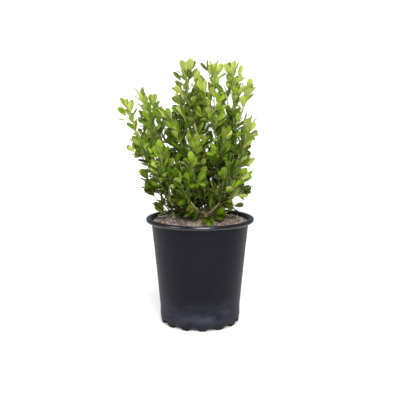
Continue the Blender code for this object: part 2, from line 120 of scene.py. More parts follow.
# Grains of the mix: how many, their shortest and longest, how flat and how slim they are
SOIL_GRAINS = {
    "chips_brown": (1700, 2.2 * MM, 7.5 * MM, 0.28, (0.35, 0.8)),
    "chips_pale": (650, 1.8 * MM, 6.0 * MM, 0.28, (0.3, 0.75)),
    "fibres": (900, 4.0 * MM, 13.0 * MM, 0.5, (0.07, 0.16)),
    "crumbs_dark": (3200, 1.0 * MM, 3.6 * MM, 0.7, (0.5, 0.9)),
    "crumbs_grey": (2200, 0.7 * MM, 2.8 * MM, 0.75, (0.5, 0.9)),
    "crumbs_white": (320, 0.9 * MM, 2.4 * MM, 0.8, (0.6, 0.9)),
}

# A grain's corners, the level of its lower and upper ring with each one's share of the full radius, and
# how far its corners and its place vary
GRAIN_CORNERS, GRAIN_CORNER_SHIFT = 5, 0.25
GRAIN_RINGS = ((-1, 0.7), (1, 0.62))
GRAIN_REACHES = (0.7, 1.1)
GRAIN_TILT = 0.35
GRAIN_RISE = 0.25

# The mix's colours: dark, middle and light, and how fine their mottling is
SOIL_COLOURS = {
    # The bed's low band, seen through the notches under the pot, is much darker: painted shade
    "painted_low_shade": ((0.016, 0.014, 0.011), (0.060, 0.052, 0.042), (0.14, 0.125, 0.10), 420),
    "bed": ((0.034, 0.027, 0.019), (0.15, 0.121, 0.091), (0.37, 0.320, 0.255), 190),
    "chips_brown": ((0.070, 0.052, 0.035), (0.21, 0.166, 0.120), (0.43, 0.360, 0.285), 420),
    "chips_pale": ((0.42, 0.345, 0.27), (0.66, 0.57, 0.47), (0.82, 0.75, 0.67), 420),
    "fibres": ((0.24, 0.180, 0.13), (0.48, 0.385, 0.30), (0.72, 0.61, 0.52), 420),
    "crumbs_dark": ((0.028, 0.020, 0.014), (0.088, 0.065, 0.045), (0.20, 0.155, 0.11), 600),
    "crumbs_grey": ((0.26, 0.210, 0.165), (0.50, 0.425, 0.355), (0.74, 0.66, 0.58), 600),
    "crumbs_white": ((0.55, 0.54, 0.50), (0.70, 0.69, 0.66), (0.80, 0.79, 0.76), 600),
}

# Wood
CLEAR = 0.3 * MM
STEM_RADII = (2.5 * MM, 1.7 * MM)
STEM_FLARE = 1.35
FLARE_HEIGHT = 3 * MM
BOUGH_RADII = (1.6 * MM, 1.15 * MM)
SHOOT_RADII = (1.1 * MM, 0.7 * MM)
TWIG_RADII = (0.9 * MM, 0.6 * MM)
SPUR_RADII = (0.7 * MM, 0.5 * MM)
STEM_SIDES = 8
BOUGH_SIDES = 6
TWIG_SIDES = 3
LIMB_PIECES = 4
SAG = 0.22
START_STEP = 0.1 * MM
EDGE_POINTS = 8
FORK_SHARE = 0.12
TIP_GROWTH = 2.5 * MM

# Their meshes: the least step to what a limb springs from and how much thicker it is there, the steps
# along a limb, the sides round it, and how a twig ends just past its last leaf
JOINT_LEAST, JOINT_SWELL = 0.2 * MM, 1.1
WOOD_STEP, TWIG_STEP = 0.9 * MM, 2.2 * MM
MESH_SIDES = {"stems": 16, "boughs": 14, "twigs": 7}
TWIG_PAST_LEAF, TWIG_TAPER = 0.02, 0.7

# The relief of bark and twigs: heights are shares of the radius
RIDGES, RIDGE_HEIGHT, RIDGE_WIND = 5, 0.06, 70
LUMP_HEIGHTS, LUMP_RISE, LUMP_GRAIN, LUMP_FINER = (0.11, 0.05), 160, 1.3, 3.1
BARK_SEED_STEP = 1.7
SCAR_SPACING, SCAR_PLACE, SCAR_WIDTH, SCAR_HEIGHT = 9.5, 4, 0.55, 0.13
TWIG_EDGES, TWIG_EDGE_HEIGHT = 4, 0.07
SWELLING_SPACING, SWELLING_WIDTH, SWELLING_HEIGHT = 10 * MM, 0.9 * MM, 0.16
BARK_EDGE = (0.183, 0.016, 140)

# Side twigs of a leafy shoot
TWIG_SPACING = 68 * MM
TWIG_ZONE = (0.2, 0.7)
TWIG_TURN = 2.4
TWIG_SHARES = (0.26, 0.38)
TWIG_LEAN = (0.75, 0.6, 0.25)
TWIG_SHIFT = 0.5
TWIG_PIECES = 2

# Leaves, as the solids carry them
LEAF_LENGTH = 24 * MM
LEAF_WIDTH = 14 * MM
LEAF_THICKNESS = 0.8 * MM
LEAF_SIZES = (0.85, 1.12)
SHOULDERS = (0.55, 0.5)
BLUNT_TIP = (0.96, 0.24)
ROOF = 0.5
DROOP = 0.04
LEAF_ANGLES_DEG = (58, 30)
LEAF_SINK = 0.1 * MM
INTERNODE = 20 * MM
TOP_INTERNODE = 7 * MM
LOWEST_NODE = 6 * MM
PAIR_BIAS = 0.2
TIP_SHARE = 0.985
ANGLE_JITTER_DEG = 8
TURN_JITTER = 0.3
LEAF_PAD = 0.45 * MM
LEAF_TRIES = 7
RETRY_TURN = 0.2
RETRY_SHRINK = 0.04
BLADE_START = 0.2
SPACE_RADIUS = 46 * MM
RIM_CLEARANCE = 1.5 * MM
RIM_INSIDE = 6 * MM

# Leaves at their true size, as shares of the solids' larger ones
TRUE_LENGTH = 0.89
TRUE_WIDTH = 0.68
LIFT_DEG = 13
FINE_PAD = 0.15 * MM
FINE_CELL = 12 * MM
FINE_SIZES = (0.72, 1.0)
FINE_GAP = 12 * MM
FINE_TRIES = 4
FINE_WANDER = 1.5
BUD_SIZES = (0.26, 0.42)
BUD_ANGLES_DEG = (10, 24)

# The true leaf's blade, and how far its cup, arch, twist, wavy edge and the wave's phase vary
BLADE_THICKNESS = 0.35 * MM
STALK_THICKNESS = 0.7 * MM
STALK = 0.085
STALK_WIDTH = 0.11
WIDEST = 0.6
TIP_WIDTH = 0.2
NOTCH_DEPTH = 0.012
GROOVE = 0.05
LEAF_ROWS = np.array([0, 0.045, 0.09, 0.15, 0.25, 0.38, 0.52, 0.66, 0.79, 0.89, 0.96, 1.0])
LEAF_COLUMNS = np.array([-1, -0.55, -0.07, 0.07, 0.55, 1])
LEAF_VARIETY = ((-0.16, 0.22), (-0.02, 0.12), (-0.25, 0.25), (0, 0.05), (0, tau))

# Spurs: the short leafy twigs on the shoots, and on the boughs and stems inside the crown
SPUR_SPACING = 9.5 * MM
DEEP_SPACING = 5.5 * MM
SPUR_LENGTHS = (11 * MM, 22 * MM)
SPUR_LEAF_GAP = 7 * MM
SPUR_SIZES = (0.66, 0.96)
SPUR_LOWEST = 164 * MM
SPUR_LEAN = (0.55, 0.75, 0.35)
SPUR_ZONE = (0.05, 0.66)
DEEP_ZONE = (0.1, 1.0)
SPUR_SHIFT = 0.8
SPUR_PIECES = 3

# Wood that the photograph shows bare: the stretch of each limb that no leaf may stand in front of
BARE_WOOD = {
    "stem_front": (0.3, 1.0),
    "bough_front_left": (0.0, 0.75),
    "bough_front_right": (0.0, 1.0),
    "stem_left": (0.05, 0.35),
}
BARE_POINTS = 9
BARE_MARGIN = 3.2 * MM

# Open sky seen through the crown: each gap's middle (x, z) in the plane y = 0, and its radius, in mm
SKY_GAPS = [(-15, 359, 4), (21, 345, 5), (45, 341, 5), (34, 372, 5.5), (10, 384, 5), (-46, 376, 7)]
SKY_GAPS += [(-49, 356, 9), (-56, 341, 5), (-68, 308, 3), (-80, 296, 3), (-54, 272, 2.5), (-38, 264, 2)]
SKY_GAPS += [(-64, 230, 2.5), (-63, 216, 2.5), (56, 246, 2), (55, 281, 2.5), (64, 263, 2), (-109, 296, 7)]
SKY_GAPS += [(-112, 320, 4.5), (-93, 246, 6), (-115, 271, 5), (-66, 197, 5), (56, 189, 5), (70, 330, 5)]
SKY_GAPS += [(81, 338, 6), (80, 268, 4.5), (88, 251, 5), (-76, 192, 5)]
LEAF_SPOTS = ((0.3, 0), (0.65, 0), (1, 0), (0.6, -0.45), (0.6, 0.45))

# Leafy sprigs that fill the crown out: each mass, and the places in mm that its sprigs' top leaves reach
TOP_LEFT_REACHES = [(-12, 2, 397), (-26, -2, 396), (-4, 2, 382), (-34, 0, 381), (-32, 0, 368)]
TOP_LEFT_REACHES += [(-39, -8, 350), (-34, -5, 330), (-10, -14, 352)]
TOP_RIGHT_REACHES = [(41, -5, 391), (51, -5, 395), (62, -5, 384), (75, 8, 369), (76, 5, 360)]
TOP_RIGHT_REACHES += [(60, 0, 359), (54, 0, 372), (66, -5, 344), (43, -8, 366), (36, -14, 352)]
CROWN_SPRIGS = {
    "foliage_top_left": TOP_LEFT_REACHES,
    "foliage_gap_left": [(-57, -10, 333), (-63, -20, 321)],
    "foliage_left_high": [(-69, 0, 341), (-84, 0, 344), (-89, 0, 357)],
    "foliage_left_outer": [(-118, -8, 327), (-106, -10, 335)],
    "foliage_top_mid": [(9, 8, 396), (20, 5, 398), (28, 2, 389), (23, -6, 372), (30, -12, 350)],
    "foliage_top_right": TOP_RIGHT_REACHES,
    "foliage_right_mid": [(80, -10, 306), (80, -10, 296)],
    "foliage_right_low": [(73, -10, 226), (78, -8, 213), (71, -10, 205)],
    "foliage_left_low": [(-80, -5, 226), (-81, -2, 213)],
    "foliage_left_lowest": [(-78, -2, 204)],
}
FOOT_ONWARD, FOOT_LEVEL, FOOT_DOWN = 0.72, 0.8, 30 * MM
TOP_LEAF_REACH = 11 * MM
SHORTEST_SPRIG = 9 * MM
NEAR_FIRST, NEAR_STEPS = 4, 40

# Low leafy sprigs over the soil: the stem or bough, the share of the way up it, and the sprig's tip
LOW_SPRIGS = [
    ("stem_front", 0.35, (12, -45, 167)),
    ("stem_front", 0.25, (23, -22, 171)),
    ("stem_front", 0.45, (-9, -17, 173)),
    ("stem_front", 0.7, (14, 6, 190)),
    ("bough_front_right", 0.45, (22, 2, 193)),
    ("bough_front_right", 0.8, (42, -16, 193)),
    ("bough_front_left", 0.5, (-12, 2, 190)),
    ("bough_front_left", 0.3, (-22, -8, 182)),
    ("stem_left", 0.15, (-44, 2, 170)),
    ("stem_left", 0.1, (-54, 14, 168)),
    ("stem_left", 0.12, (-30, 4, 170)),
    ("stem_left", 0.3, (-56, 6, 176)),
    ("stem_centre", 0.1, (-20, -2, 173)),
    ("stem_centre", 0.3, (-20, 4, 184)),
    ("stem_right", 0.12, (33, 16, 172)),
    ("stem_right", 0.3, (40, -2, 186)),
    ("stem_back_left", 0.2, (-36, 26, 178)),
    ("stem_back_right", 0.2, (24, 40, 178)),
    ("stem_back_right", 0.35, (2, 30, 188)),
    ("stem_back_left", 0.35, (-12, 34, 190)),
]
SPRIG_LEAF_GAP = 8 * MM
SPRIG_SIZES = (0.82, 1.08)
PAIR_CROWDING = 0.8
BARE_FOOT = 0.2

# Each stem's foot and tip
STEMS = {
    "stem_front": ((10, 3), (7, 1, 173)),
    "stem_left": ((-41, 17), (-50, 9, 197)),
    "stem_centre": ((-9, 12), (-12, 5, 214)),
    "stem_right": ((24, 12), (30, 4, 212)),
    "stem_back_left": ((-20, 33), (-29, 41, 208)),
    "stem_back_right": ((11, 36), (15, 46, 208)),
}

# Each bough's stem, the share of the way up it, and the bough's tip
BOUGHS = {
    "bough_front_left": ("stem_front", 0.85, (-14, -22, 191)),
    "bough_front_right": ("stem_front", 0.7, (29, -22, 190)),
    "bough_left_front": ("stem_left", 0.55, (-47, -16, 212)),
    "bough_left_mid": ("stem_left", 0.85, (-69, -1, 236)),
    "bough_left_high": ("stem_left", 1.0, (-65, 6, 262)),
    "bough_centre_front": ("stem_centre", 0.7, (-9, -28, 222)),
    "bough_top_left": ("stem_centre", 1.0, (-16, 0, 286)),
    "bough_top_mid": ("stem_right", 1.0, (24, -12, 276)),
    "bough_right_high": ("stem_right", 0.9, (53, 2, 280)),
    "bough_right_mid": ("stem_right", 0.65, (52, -4, 234)),
    "bough_back_left": ("stem_back_left", 1.0, (-42, 46, 260)),
    "bough_back_mid": ("stem_back_right", 1.0, (4, 50, 274)),
    "bough_back_right": ("stem_back_right", 0.85, (39, 46, 254)),
    "bough_back_low": ("stem_back_right", 0.55, (5, 66, 212)),
}

# Each mass's limb, the share of the way up it, the seed of its growth, and the tips of its shoots
MASSES = {
    "foliage_left_outer": ("bough_left_mid", 1.0, 11, [(-108, -10, 329), (-93, -20, 282)]),
    "foliage_left_side": ("bough_left_mid", 0.8, 6, [(-93, 12, 262)]),
    "foliage_left_high": ("bough_left_high", 1.0, 12, [(-87, 0, 345), (-72, 12, 332)]),
    "foliage_left_low": ("stem_left", 0.7, 5, [(-78, -2, 221)]),
    "foliage_left_lowest": ("stem_left", 0.35, 10, [(-58, -4, 190)]),
    "foliage_left_back": ("stem_left", 0.6, 5, [(-74, 36, 236)]),
    "foliage_left_front": ("bough_left_front", 1.0, 6, [(-58, -45, 264), (-36, -42, 246)]),
    "foliage_centre_left": ("bough_top_left", 0.5, 12, [(-35, -36, 298)]),
    "foliage_gap_left": ("bough_top_left", 0.8, 9, [(-41, -8, 312)]),
    "foliage_top_left": ("bough_top_left", 1.0, 1, [(-20, 0, 381), (-6, 14, 362)]),
    "foliage_front_high": ("bough_centre_front", 1.0, 5, [(-4, -48, 290)]),
    "foliage_front_centre": ("bough_centre_front", 0.7, 3, [(-12, -64, 252)]),
    "foliage_front_left": ("bough_front_left", 1.0, 7, [(-30, -56, 230)]),
    "foliage_front_low": ("stem_front", 1.0, 1, [(7, -30, 212), (19, -30, 184), (-12, -26, 180)]),
    "foliage_front_right": ("bough_front_right", 1.0, 11, [(34, -54, 226)]),
    "foliage_right_lowest": ("bough_front_right", 0.8, 4, [(46, -13, 199)]),
    "foliage_centre_low": ("stem_centre", 0.15, 1, [(-34, -10, 192)]),
    "foliage_top_mid": ("bough_top_mid", 1.0, 1, [(20, 5, 384), (6, -24, 360)]),
    "foliage_centre_right": ("bough_top_mid", 0.5, 1, [(37, -44, 290)]),
    "foliage_top_right": ("bough_right_high", 1.0, 8, [(48, -5, 381), (71, 8, 347)]),
    "foliage_centre_deep": ("stem_right", 0.75, 1, [(12, -4, 256)]),
    "foliage_right_mid": ("bough_right_mid", 1.0, 6, [(74, -10, 301), (70, 14, 272)]),
    "foliage_right_front": ("bough_right_mid", 0.6, 11, [(43, -46, 248)]),
    "foliage_right_low": ("stem_right", 0.5, 9, [(64, -8, 223)]),
    "foliage_right_back": ("stem_right", 0.35, 9, [(57, 26, 213)]),
    "foliage_back_left_high": ("bough_back_left", 1.0, 1, [(-28, 42, 338), (-74, 48, 306)]),
    "foliage_back_left_low": ("bough_back_left", 0.4, 1, [(-58, 70, 250)]),
    "foliage_back_mid_high": ("bough_back_mid", 1.0, 1, [(2, 42, 362), (-6, 82, 318)]),
    "foliage_back_right_high": ("bough_back_right", 1.0, 1, [(44, 42, 346), (76, 44, 300)]),
    "foliage_back_right_low": ("bough_back_right", 0.4, 1, [(54, 70, 248)]),
    "foliage_back_low": ("bough_back_low", 1.0, 1, [(-6, 86, 250)]),
    "foliage_back_lowest": ("stem_back_left", 0.45, 1, [(-40, 62, 204)]),
}

# Leaf tones from young to old, the darker ones partly painted shade deep inside the crown: the upper face,
# then the paler under face, partly the real pale underside and partly painted light shining through the
# leaf, in linear colour
LEAF_TONES = {
    "tip": ((0.225, 0.335, 0.012), (0.445, 0.505, 0.095)),
    "young": ((0.188, 0.300, 0.011), (0.430, 0.490, 0.100)),
    "fresh": ((0.158, 0.257, 0.009), (0.395, 0.460, 0.100)),
    "grown": ((0.104, 0.179, 0.0039), (0.272, 0.334, 0.060)),
    "deep": ((0.052, 0.099, 0.0018), (0.160, 0.203, 0.027)),
    "old": ((0.022, 0.048, 0.0010), (0.077, 0.108, 0.0115)),
}
TONE_NAMES = list(LEAF_TONES)
MIDRIB = (0.40, 0.46, 0.12)

# A twig's age and painted shade, from its tip's place in the crown, darker deeper inside and lower down,
# and what its leaves' ages add to it
CROWN_MIDDLE, CROWN_FOOT = (-0.008, 0.01), 0.17
CROWN_RADIUS, CROWN_HEIGHT = 0.09, 0.21
AGE_AND_SHADE_INSIDE, AGE_AND_SHADE_OUTWARD, AGE_AND_SHADE_UPWARD = 1.36, 0.43, 0.79
YOUNG_TWIG_AGE = 0.45
TWIG_AGE_JITTER = 0.17
LEAF_AGE_JITTER = 0.31
AGE_WEIGHT, PLACE_WEIGHT = 0.75, 0.33


# The growth rule, the same as the solids'


class Limb:
    """A tapering stem, bough or twig: its middle line's points, the radius at each, and its fine leaves."""

    def __init__(self, points, radii, sprung_from):
        self.points, self.sprung_from, self.leaves = points, sprung_from, []
        count = len(points) - 1
        self.radii = [radii[0] + (radii[1] - radii[0]) * i / count for i in range(count + 1)]
        self.middle = (points[0] + points[-1]) / 2
        self.reach = max((point - self.middle).length for point in points) + radii[0]

    def at(self, share):
        """The point a share of the way along, and the direction there."""
        place = share * (len(self.points) - 1)
        index = min(int(place), len(self.points) - 2)
        a, b = self.points[index], self.points[index + 1]
        return a.lerp(b, place - index), (b - a).normalized()

    def length(self):
        return sum((b - a).length for a, b in zip(self.points, self.points[1:]))

    def distance(self, point):
        """How far a point lies from the limb's skin, whose two ends are flat."""
        least = math.inf
        last = len(self.points) - 2
        for i, (a, b) in enumerate(zip(self.points, self.points[1:])):
            axis = b - a
            share = (point - a).dot(axis) / axis.length_squared
            inside = min(max(share, 0), 1)
            radius = self.radii[i] + (self.radii[i + 1] - self.radii[i]) * inside
            if (share < 0 and i == 0) or (share > 1 and i == last):
                beyond = abs(share - inside) * axis.length
                aside = max((point - a - axis * share).length - radius, 0)
                least = min(least, hypot(beyond, aside))
            else:
                least = min(least, (point - a - axis * inside).length - radius)
        return least


def millimetres(place):
    return Vector(place) * MM


def arc(start, end, count):
    """Points of a limb's middle line, which sets out more level than it ends."""
    out = hypot(end.x - start.x, end.y - start.y)
    control = (start + end) / 2 - UP * (SAG * out)
    shares = [i / count for i in range(count + 1)]
    return [start * (1 - s) ** 2 + control * 2 * s * (1 - s) + end * s * s for s in shares]


def sideways(direction, turn):
    """The way out from a limb at a turn round it."""
    level = direction.cross(UP)
    level = level.normalized() if level.length > 0.05 else Vector((1, 0, 0))
    return level * cos(turn) + direction.cross(level).normalized() * sin(turn)


def leaning(direction, turn, lean):
    """A way out from a limb that leans on along it, aside and up by three shares."""
    onward, aside, upward = lean
    return direction * onward + sideways(direction, turn) * aside + UP * upward


def branch(parent, share, tip, radii, neighbours):
    """A limb that grows from a parent to tip, and starts just clear of the parent and its neighbours."""
    start = parent.at(share)[0]
    fine = arc(start, tip, round((tip - start).length / START_STEP))
    for first, point in enumerate(fine):
        direction = (fine[first + 1] - point).normalized()
        turns = [tau * i / EDGE_POINTS for i in range(EDGE_POINTS)]
        skin = [point, *(point + sideways(direction, turn) * radii[0] for turn in turns)]
        near = [n for n in neighbours if (n.middle - point).length < n.reach + 2 * radii[0]]
        if min(limb.distance(p) for limb in (parent, *near) for p in skin) >= CLEAR:
            break
    last = len(fine) - 1
    picked = [fine[round(first + (last - first) * k / LIMB_PIECES)] for k in range(LIMB_PIECES + 1)]
    return Limb(picked, radii, start)


class Leaf:
    """One leaf: where it is rooted, how it points and faces, and its size."""

    def __init__(self, root, along, face, length, width):
        self.root, self.along, self.face = root, along, face
        self.across = face.cross(along).normalized()
        self.length, self.width = length, width
        self.middle = root + along * length / 2

    def place(self, along, across, up):
        """The point at these shares of the leaf's length and width, raised by up."""
        flat = self.along * along * self.length + self.across * across * self.width
        return self.root + flat + self.face * up

    def corners(self, start=0, pad=0):
        """The outline's root, shoulders and blunt tip, then the top of the leaf's low roof."""
        wider = 1 + 2 * pad / self.width
        (wide_at, wide), (tip_at, tip) = SHOULDERS, BLUNT_TIP
        left = [(wide_at, -wide, 0), (tip_at, -tip, DROOP)]
        right = [(tip_at, tip, DROOP), (wide_at, wide, 0)]
        rim = [(start, 0, 0), *left, *right]
        ring = [self.place(a, c * wider, -pad - d * self.length) for a, c, d in rim]
        return [*ring, self.place(ROOF, 0, LEAF_THICKNESS + pad)]

    def skin(self, start, pad):
        roof = [(i, (i + 1) % 5, 5) for i in range(5)]
        return Skin(self.corners(start, pad), roof + [(0, 4, 1), (1, 4, 2), (2, 4, 3)])


class Skin:
    """A closed surface that can be tried for overlap with another, and the ball that holds it."""

    def __init__(self, points, faces):
        self.tree = BVHTree.FromPolygons(points, faces)
        self.middle = sum(points, Vector()) / len(points)
        self.reach = max((point - self.middle).length for point in points)

    def meets(self, other):
        if (self.middle - other.middle).length > self.reach + other.reach:
            return False
        return bool(self.tree.overlap(other.tree))


def add_object(name, data):
    obj = bpy.data.objects.new(name, data)
    bpy.context.scene.collection.objects.link(obj)
    return obj


def new_curve(name, points):
    """A new curve object in the scene, and its one spline with this many points."""
    curve = bpy.data.curves.new(name, "CURVE")
    curve.dimensions = "3D"
    spline = curve.splines.new("POLY")
    spline.points.add(points - 1)
    return add_object(name, curve), spline


def new_section():
    """The three-cornered outline of thin twigs, one millimetre in radius."""
    section, spline = new_curve("twig_section", TWIG_SIDES)
    section.data.dimensions = "2D"
    for i, point in enumerate(spline.points):
        turn = tau * i / TWIG_SIDES
        point.co = (cos(turn) * MM, sin(turn) * MM, 0, 1)
    spline.use_cyclic_u = True
    return section


def swept_skin(limb, sides, section):
    """The points and skin of a limb swept along its middle line, as the solids have it."""
    swept, spline = new_curve("sweep", len(limb.points))
    curve = swept.data
    curve.use_fill_caps = True
    if sides == TWIG_SIDES:
        curve.bevel_mode = "OBJECT"
        curve.bevel_object = section
    else:
        curve.bevel_depth = MM
        curve.bevel_resolution = sides // 2 - 2
    for point, place, radius in zip(spline.points, limb.points, limb.radii):
        point.co = (*place, 1)
        point.radius = radius / MM
    graph = bpy.context.evaluated_depsgraph_get()
    mesh = bpy.data.meshes.new_from_object(swept.evaluated_get(graph))
    points = [v.co.copy() for v in mesh.vertices]
    skin = Skin(points, [tuple(p.vertices) for p in mesh.polygons])
    bpy.data.objects.remove(swept)
    bpy.data.curves.remove(curve)
    bpy.data.meshes.remove(mesh)
    return points, skin


class Crown:
    """What has grown so far, so that what comes next can keep clear of it."""

    def __init__(self):
        self.wood = []
        self.leaves = []

    def wood_is_clear(self, name, skin):
        return not any(owner != name and skin.meets(other) for owner, other in self.wood)

    def add_leaf(self, name, leaf):
        """Takes the leaf in if it is clear of all the rest, and says whether it was."""
        whole, blade = leaf.skin(0, LEAF_PAD), leaf.skin(BLADE_START, LEAF_PAD)
        for owner, other_whole, other_blade in self.leaves:
            if blade.meets(other_blade) if owner == name else whole.meets(other_whole):
                return False
        if not self.wood_is_clear(name, whole):
            return False
        self.leaves.append((name, whole, blade))
        return True


def clears_pot(points):
    """True if points are above the rim, or over the soil inside it."""
    above = POT_HEIGHT + RIM_CLEARANCE
    inside = WALL_TOP_RADIUS - RIM_INSIDE
    over_soil = SOIL_TOP + CLEAR
    return all(p.z > above or (p.z > over_soil and hypot(p.x, p.y) < inside) for p in points)


def nodes(shoot):
    """Where a shoot's leaf pairs sit, as shares of its length. The two at its tip are close together."""
    length = shoot.length()
    reached = length * TIP_SHARE
    places = [reached, reached - TOP_INTERNODE]
    count = max(0, round((places[-1] - LOWEST_NODE) / INTERNODE - PAIR_BIAS))
    gap = (places[-1] - LOWEST_NODE) / max(count, 1)
    places += [places[-1] - gap * (i + 1) for i in range(count)]
    return [place / length for place in places if place > 0]


def leaf_on(shoot, share, turn, size, angle_deg):
    """A leaf that leaves the shoot on one side, its upper face turned to the shoot's tip."""
    point, direction = shoot.at(share)
    side = sideways(direction, turn)
    angle = math.radians(angle_deg)
    along = direction * cos(angle) + side * sin(angle)
    face = direction * sin(angle) - side * cos(angle)
    return Leaf(point - along * LEAF_SINK, along, face, LEAF_LENGTH * size, LEAF_WIDTH * size)


def leaf_tries(shoot, share, turn, size, rng, tries, wander=1):
    """A leaf at the angle that suits its place, and then again, turned further and a little smaller."""
    low, high = LEAF_ANGLES_DEG
    for attempt in range(tries):
        nudge = rng.uniform(-RETRY_TURN, RETRY_TURN) * attempt * wander
        jitter = rng.uniform(-ANGLE_JITTER_DEG, ANGLE_JITTER_DEG)
        shrunk = size * (1 - RETRY_SHRINK * attempt)
        yield leaf_on(shoot, share, turn + nudge, shrunk, low + (high - low) * share**2 + jitter)


def grow_leaves(name, shoots, crown, rng):
    """A mass's leaves, in crossed pairs. One that can't be kept clear in a few tries is left out."""
    kept = []
    for shoot in shoots:
        shoot.first_turn = first = rng.uniform(0, pi)
        shoot.filled = set()
        for i, share in enumerate(nodes(shoot)):
            for half in (0, pi):
                turn = first + i * pi / 2 + half + rng.uniform(-TURN_JITTER, TURN_JITTER)
                size = rng.uniform(*LEAF_SIZES)
                for leaf in leaf_tries(shoot, share, turn, size, rng, LEAF_TRIES):
                    near = shoots[0].distance(leaf.middle) < SPACE_RADIUS
                    if near and clears_pot(leaf.corners(0, LEAF_PAD)) and crown.add_leaf(name, leaf):
                        kept.append((leaf, shoot, share))
                        shoot.filled.add((i, half))
                        break
    return kept


def side_twigs(shoot, rng):
    """Twigs that fork off a shoot, each on another side than the last."""
    length = shoot.length()
    count = round(length / TWIG_SPACING)
    first = rng.uniform(0, tau)
    low, high = TWIG_ZONE
    for i in range(count):
        point, direction = shoot.at(low + (high - low) * (i + rng.uniform(0, TWIG_SHIFT)) / count)
        reach = length * rng.uniform(*TWIG_SHARES)
        tip = point + leaning(direction, first + i * TWIG_TURN, TWIG_LEAN) * reach
        yield Limb(arc(point, tip, TWIG_PIECES), TWIG_RADII, point)


def grow_wood(crown, section):
    """Stems and boughs, by name. A stem's mesh starts as deep in the mix as its flare is tall."""
    limbs = {}
    for name, ((x, y), tip) in STEMS.items():
        start = Vector((x * MM, y * MM, SOIL_TOP + CLEAR))
        flare = UP * FLARE_HEIGHT
        points = [start, *arc(start + flare, millimetres(tip), LIMB_PIECES)]
        limbs[name] = Limb(points, STEM_RADII, start - flare)
        limbs[name].radii[0] *= STEM_FLARE
    for name, (stem, share, tip) in BOUGHS.items():
        limbs[name] = branch(limbs[stem], share, millimetres(tip), BOUGH_RADII, limbs.values())
    for name, limb in limbs.items():
        sides = STEM_SIDES if name in STEMS else BOUGH_SIDES
        crown.wood.append((name, swept_skin(limb, sides, section)[1]))
    return limbs


def grow_shoots(limbs, crown, section):
    """Every mass's random numbers, and its leader, forks and side twigs."""
    masses = {}
    wood = list(limbs.values())
    for name, (limb, share, seed, tips) in MASSES.items():
        leader = branch(limbs[limb], share, millimetres(tips[0]), SHOOT_RADII, wood)
        fork = leader.at(FORK_SHARE)[0]
        forks = [Limb(arc(fork, millimetres(tip), LIMB_PIECES), SHOOT_RADII, fork) for tip in tips[1:]]
        shoots = [leader, *forks]
        wood += shoots
        crown.wood += [(name, swept_skin(shoot, TWIG_SIDES, section)[1]) for shoot in shoots]
        masses[name] = (random.Random(seed), shoots)
    for name, (rng, shoots) in masses.items():
        for twig in [twig for shoot in shoots for twig in side_twigs(shoot, rng)]:
            points, skin = swept_skin(twig, TWIG_SIDES, section)
            if clears_pot(points) and crown.wood_is_clear(name, skin):
                crown.wood.append((name, skin))
                shoots.append(twig)
    return masses


# Finer growth: leaves at their true size, the pairs between, and short spurs


def from_front(point):
    """Where a point is seen from the photograph's place, as (x, z) in the plane y = 0."""
    eye = Vector(CAMERA_PLACE)
    seen = eye + (point - eye) * (eye.y / (eye.y - point.y))
    return Vector((seen.x, seen.z))


class FineCrown:
    """The finer leaves that have grown, kept by place, and what has to stay open from the front."""

    def __init__(self, wood, limbs):
        self.wood = wood
        self.cells = {}
        self.gaps = [(Vector((x, z)) * MM, radius * MM) for x, z, radius in SKY_GAPS]
        self.bare = []
        for name, (low, high) in BARE_WOOD.items():
            shares = [low + (high - low) * k / (BARE_POINTS - 1) for k in range(BARE_POINTS)]
            points = [limbs[name].at(share)[0] for share in shares]
            self.bare += [(point.y, from_front(point)) for point in points]

    def stays_open(self, leaf):
        """True if the leaf covers no sky in the crown's gaps and no bare wood, seen from the front."""
        for spot in [leaf.place(along, across, 0) for along, across in LEAF_SPOTS]:
            seen = from_front(spot)
            if any((seen - middle).length < radius for middle, radius in self.gaps):
                return False
            if any(spot.y < y and (seen - wood).length < BARE_MARGIN for y, wood in self.bare):
                return False
        return True

    def neighbours(self, cell):
        x, y, z = cell
        span = (-1, 0, 1)
        for key in ((x + i, y + j, z + k) for i in span for j in span for k in span):
            yield from self.cells.get(key, ())

    def add(self, leaf, must_be_clear=True):
        """Takes the leaf in if its blade is clear of the rest, and says whether it was."""
        if not self.stays_open(leaf):
            return False
        blade = leaf.skin(BLADE_START, FINE_PAD)
        cell = tuple(math.floor(c / FINE_CELL) for c in blade.middle)
        if must_be_clear:
            if any(blade.meets(other) for other in self.neighbours(cell)):
                return False
            if any(blade.meets(other) for _, other in self.wood):
                return False
        self.cells.setdefault(cell, []).append(blade)
        return True


def grown_on(shoot):
    """The shoot, a little longer at its tip, so that its smaller leaves reach as far as the solid's."""
    *low, tip = shoot.points
    longer = tip + (tip - low[-1]).normalized() * TIP_GROWTH
    grown = Limb([*low, longer], (shoot.radii[0], shoot.radii[-1]), shoot.sprung_from)
    grown.first_turn, grown.filled = shoot.first_turn, shoot.filled
    return grown


def at_true_size(leaf):
    """The leaf at its true size, raised a little towards its shoot's tip."""
    lift = math.radians(LIFT_DEG)
    along = leaf.along * cos(lift) + leaf.face * sin(lift)
    face = leaf.face * cos(lift) - leaf.along * sin(lift)
    return Leaf(leaf.root, along, face, leaf.length * TRUE_LENGTH, leaf.width * TRUE_WIDTH)


def fine_shoots(masses, crown):
    """The masses' shoots, grown on a little, with the solids' own leaves at their true size."""
    found = {}
    for name, (rng, shoots) in masses.items():
        kept = grow_leaves(name, shoots, crown, rng)
        grown = {id(shoot): grown_on(shoot) for shoot in shoots}
        for leaf, shoot, share in kept:
            longer = grown[id(shoot)]
            root = longer.at(share)[0] - leaf.along * LEAF_SINK
            moved = Leaf(root, leaf.along, leaf.face, leaf.length, leaf.width)
            longer.leaves.append((at_true_size(moved), share))
        found[name] = list(grown.values())
    return found


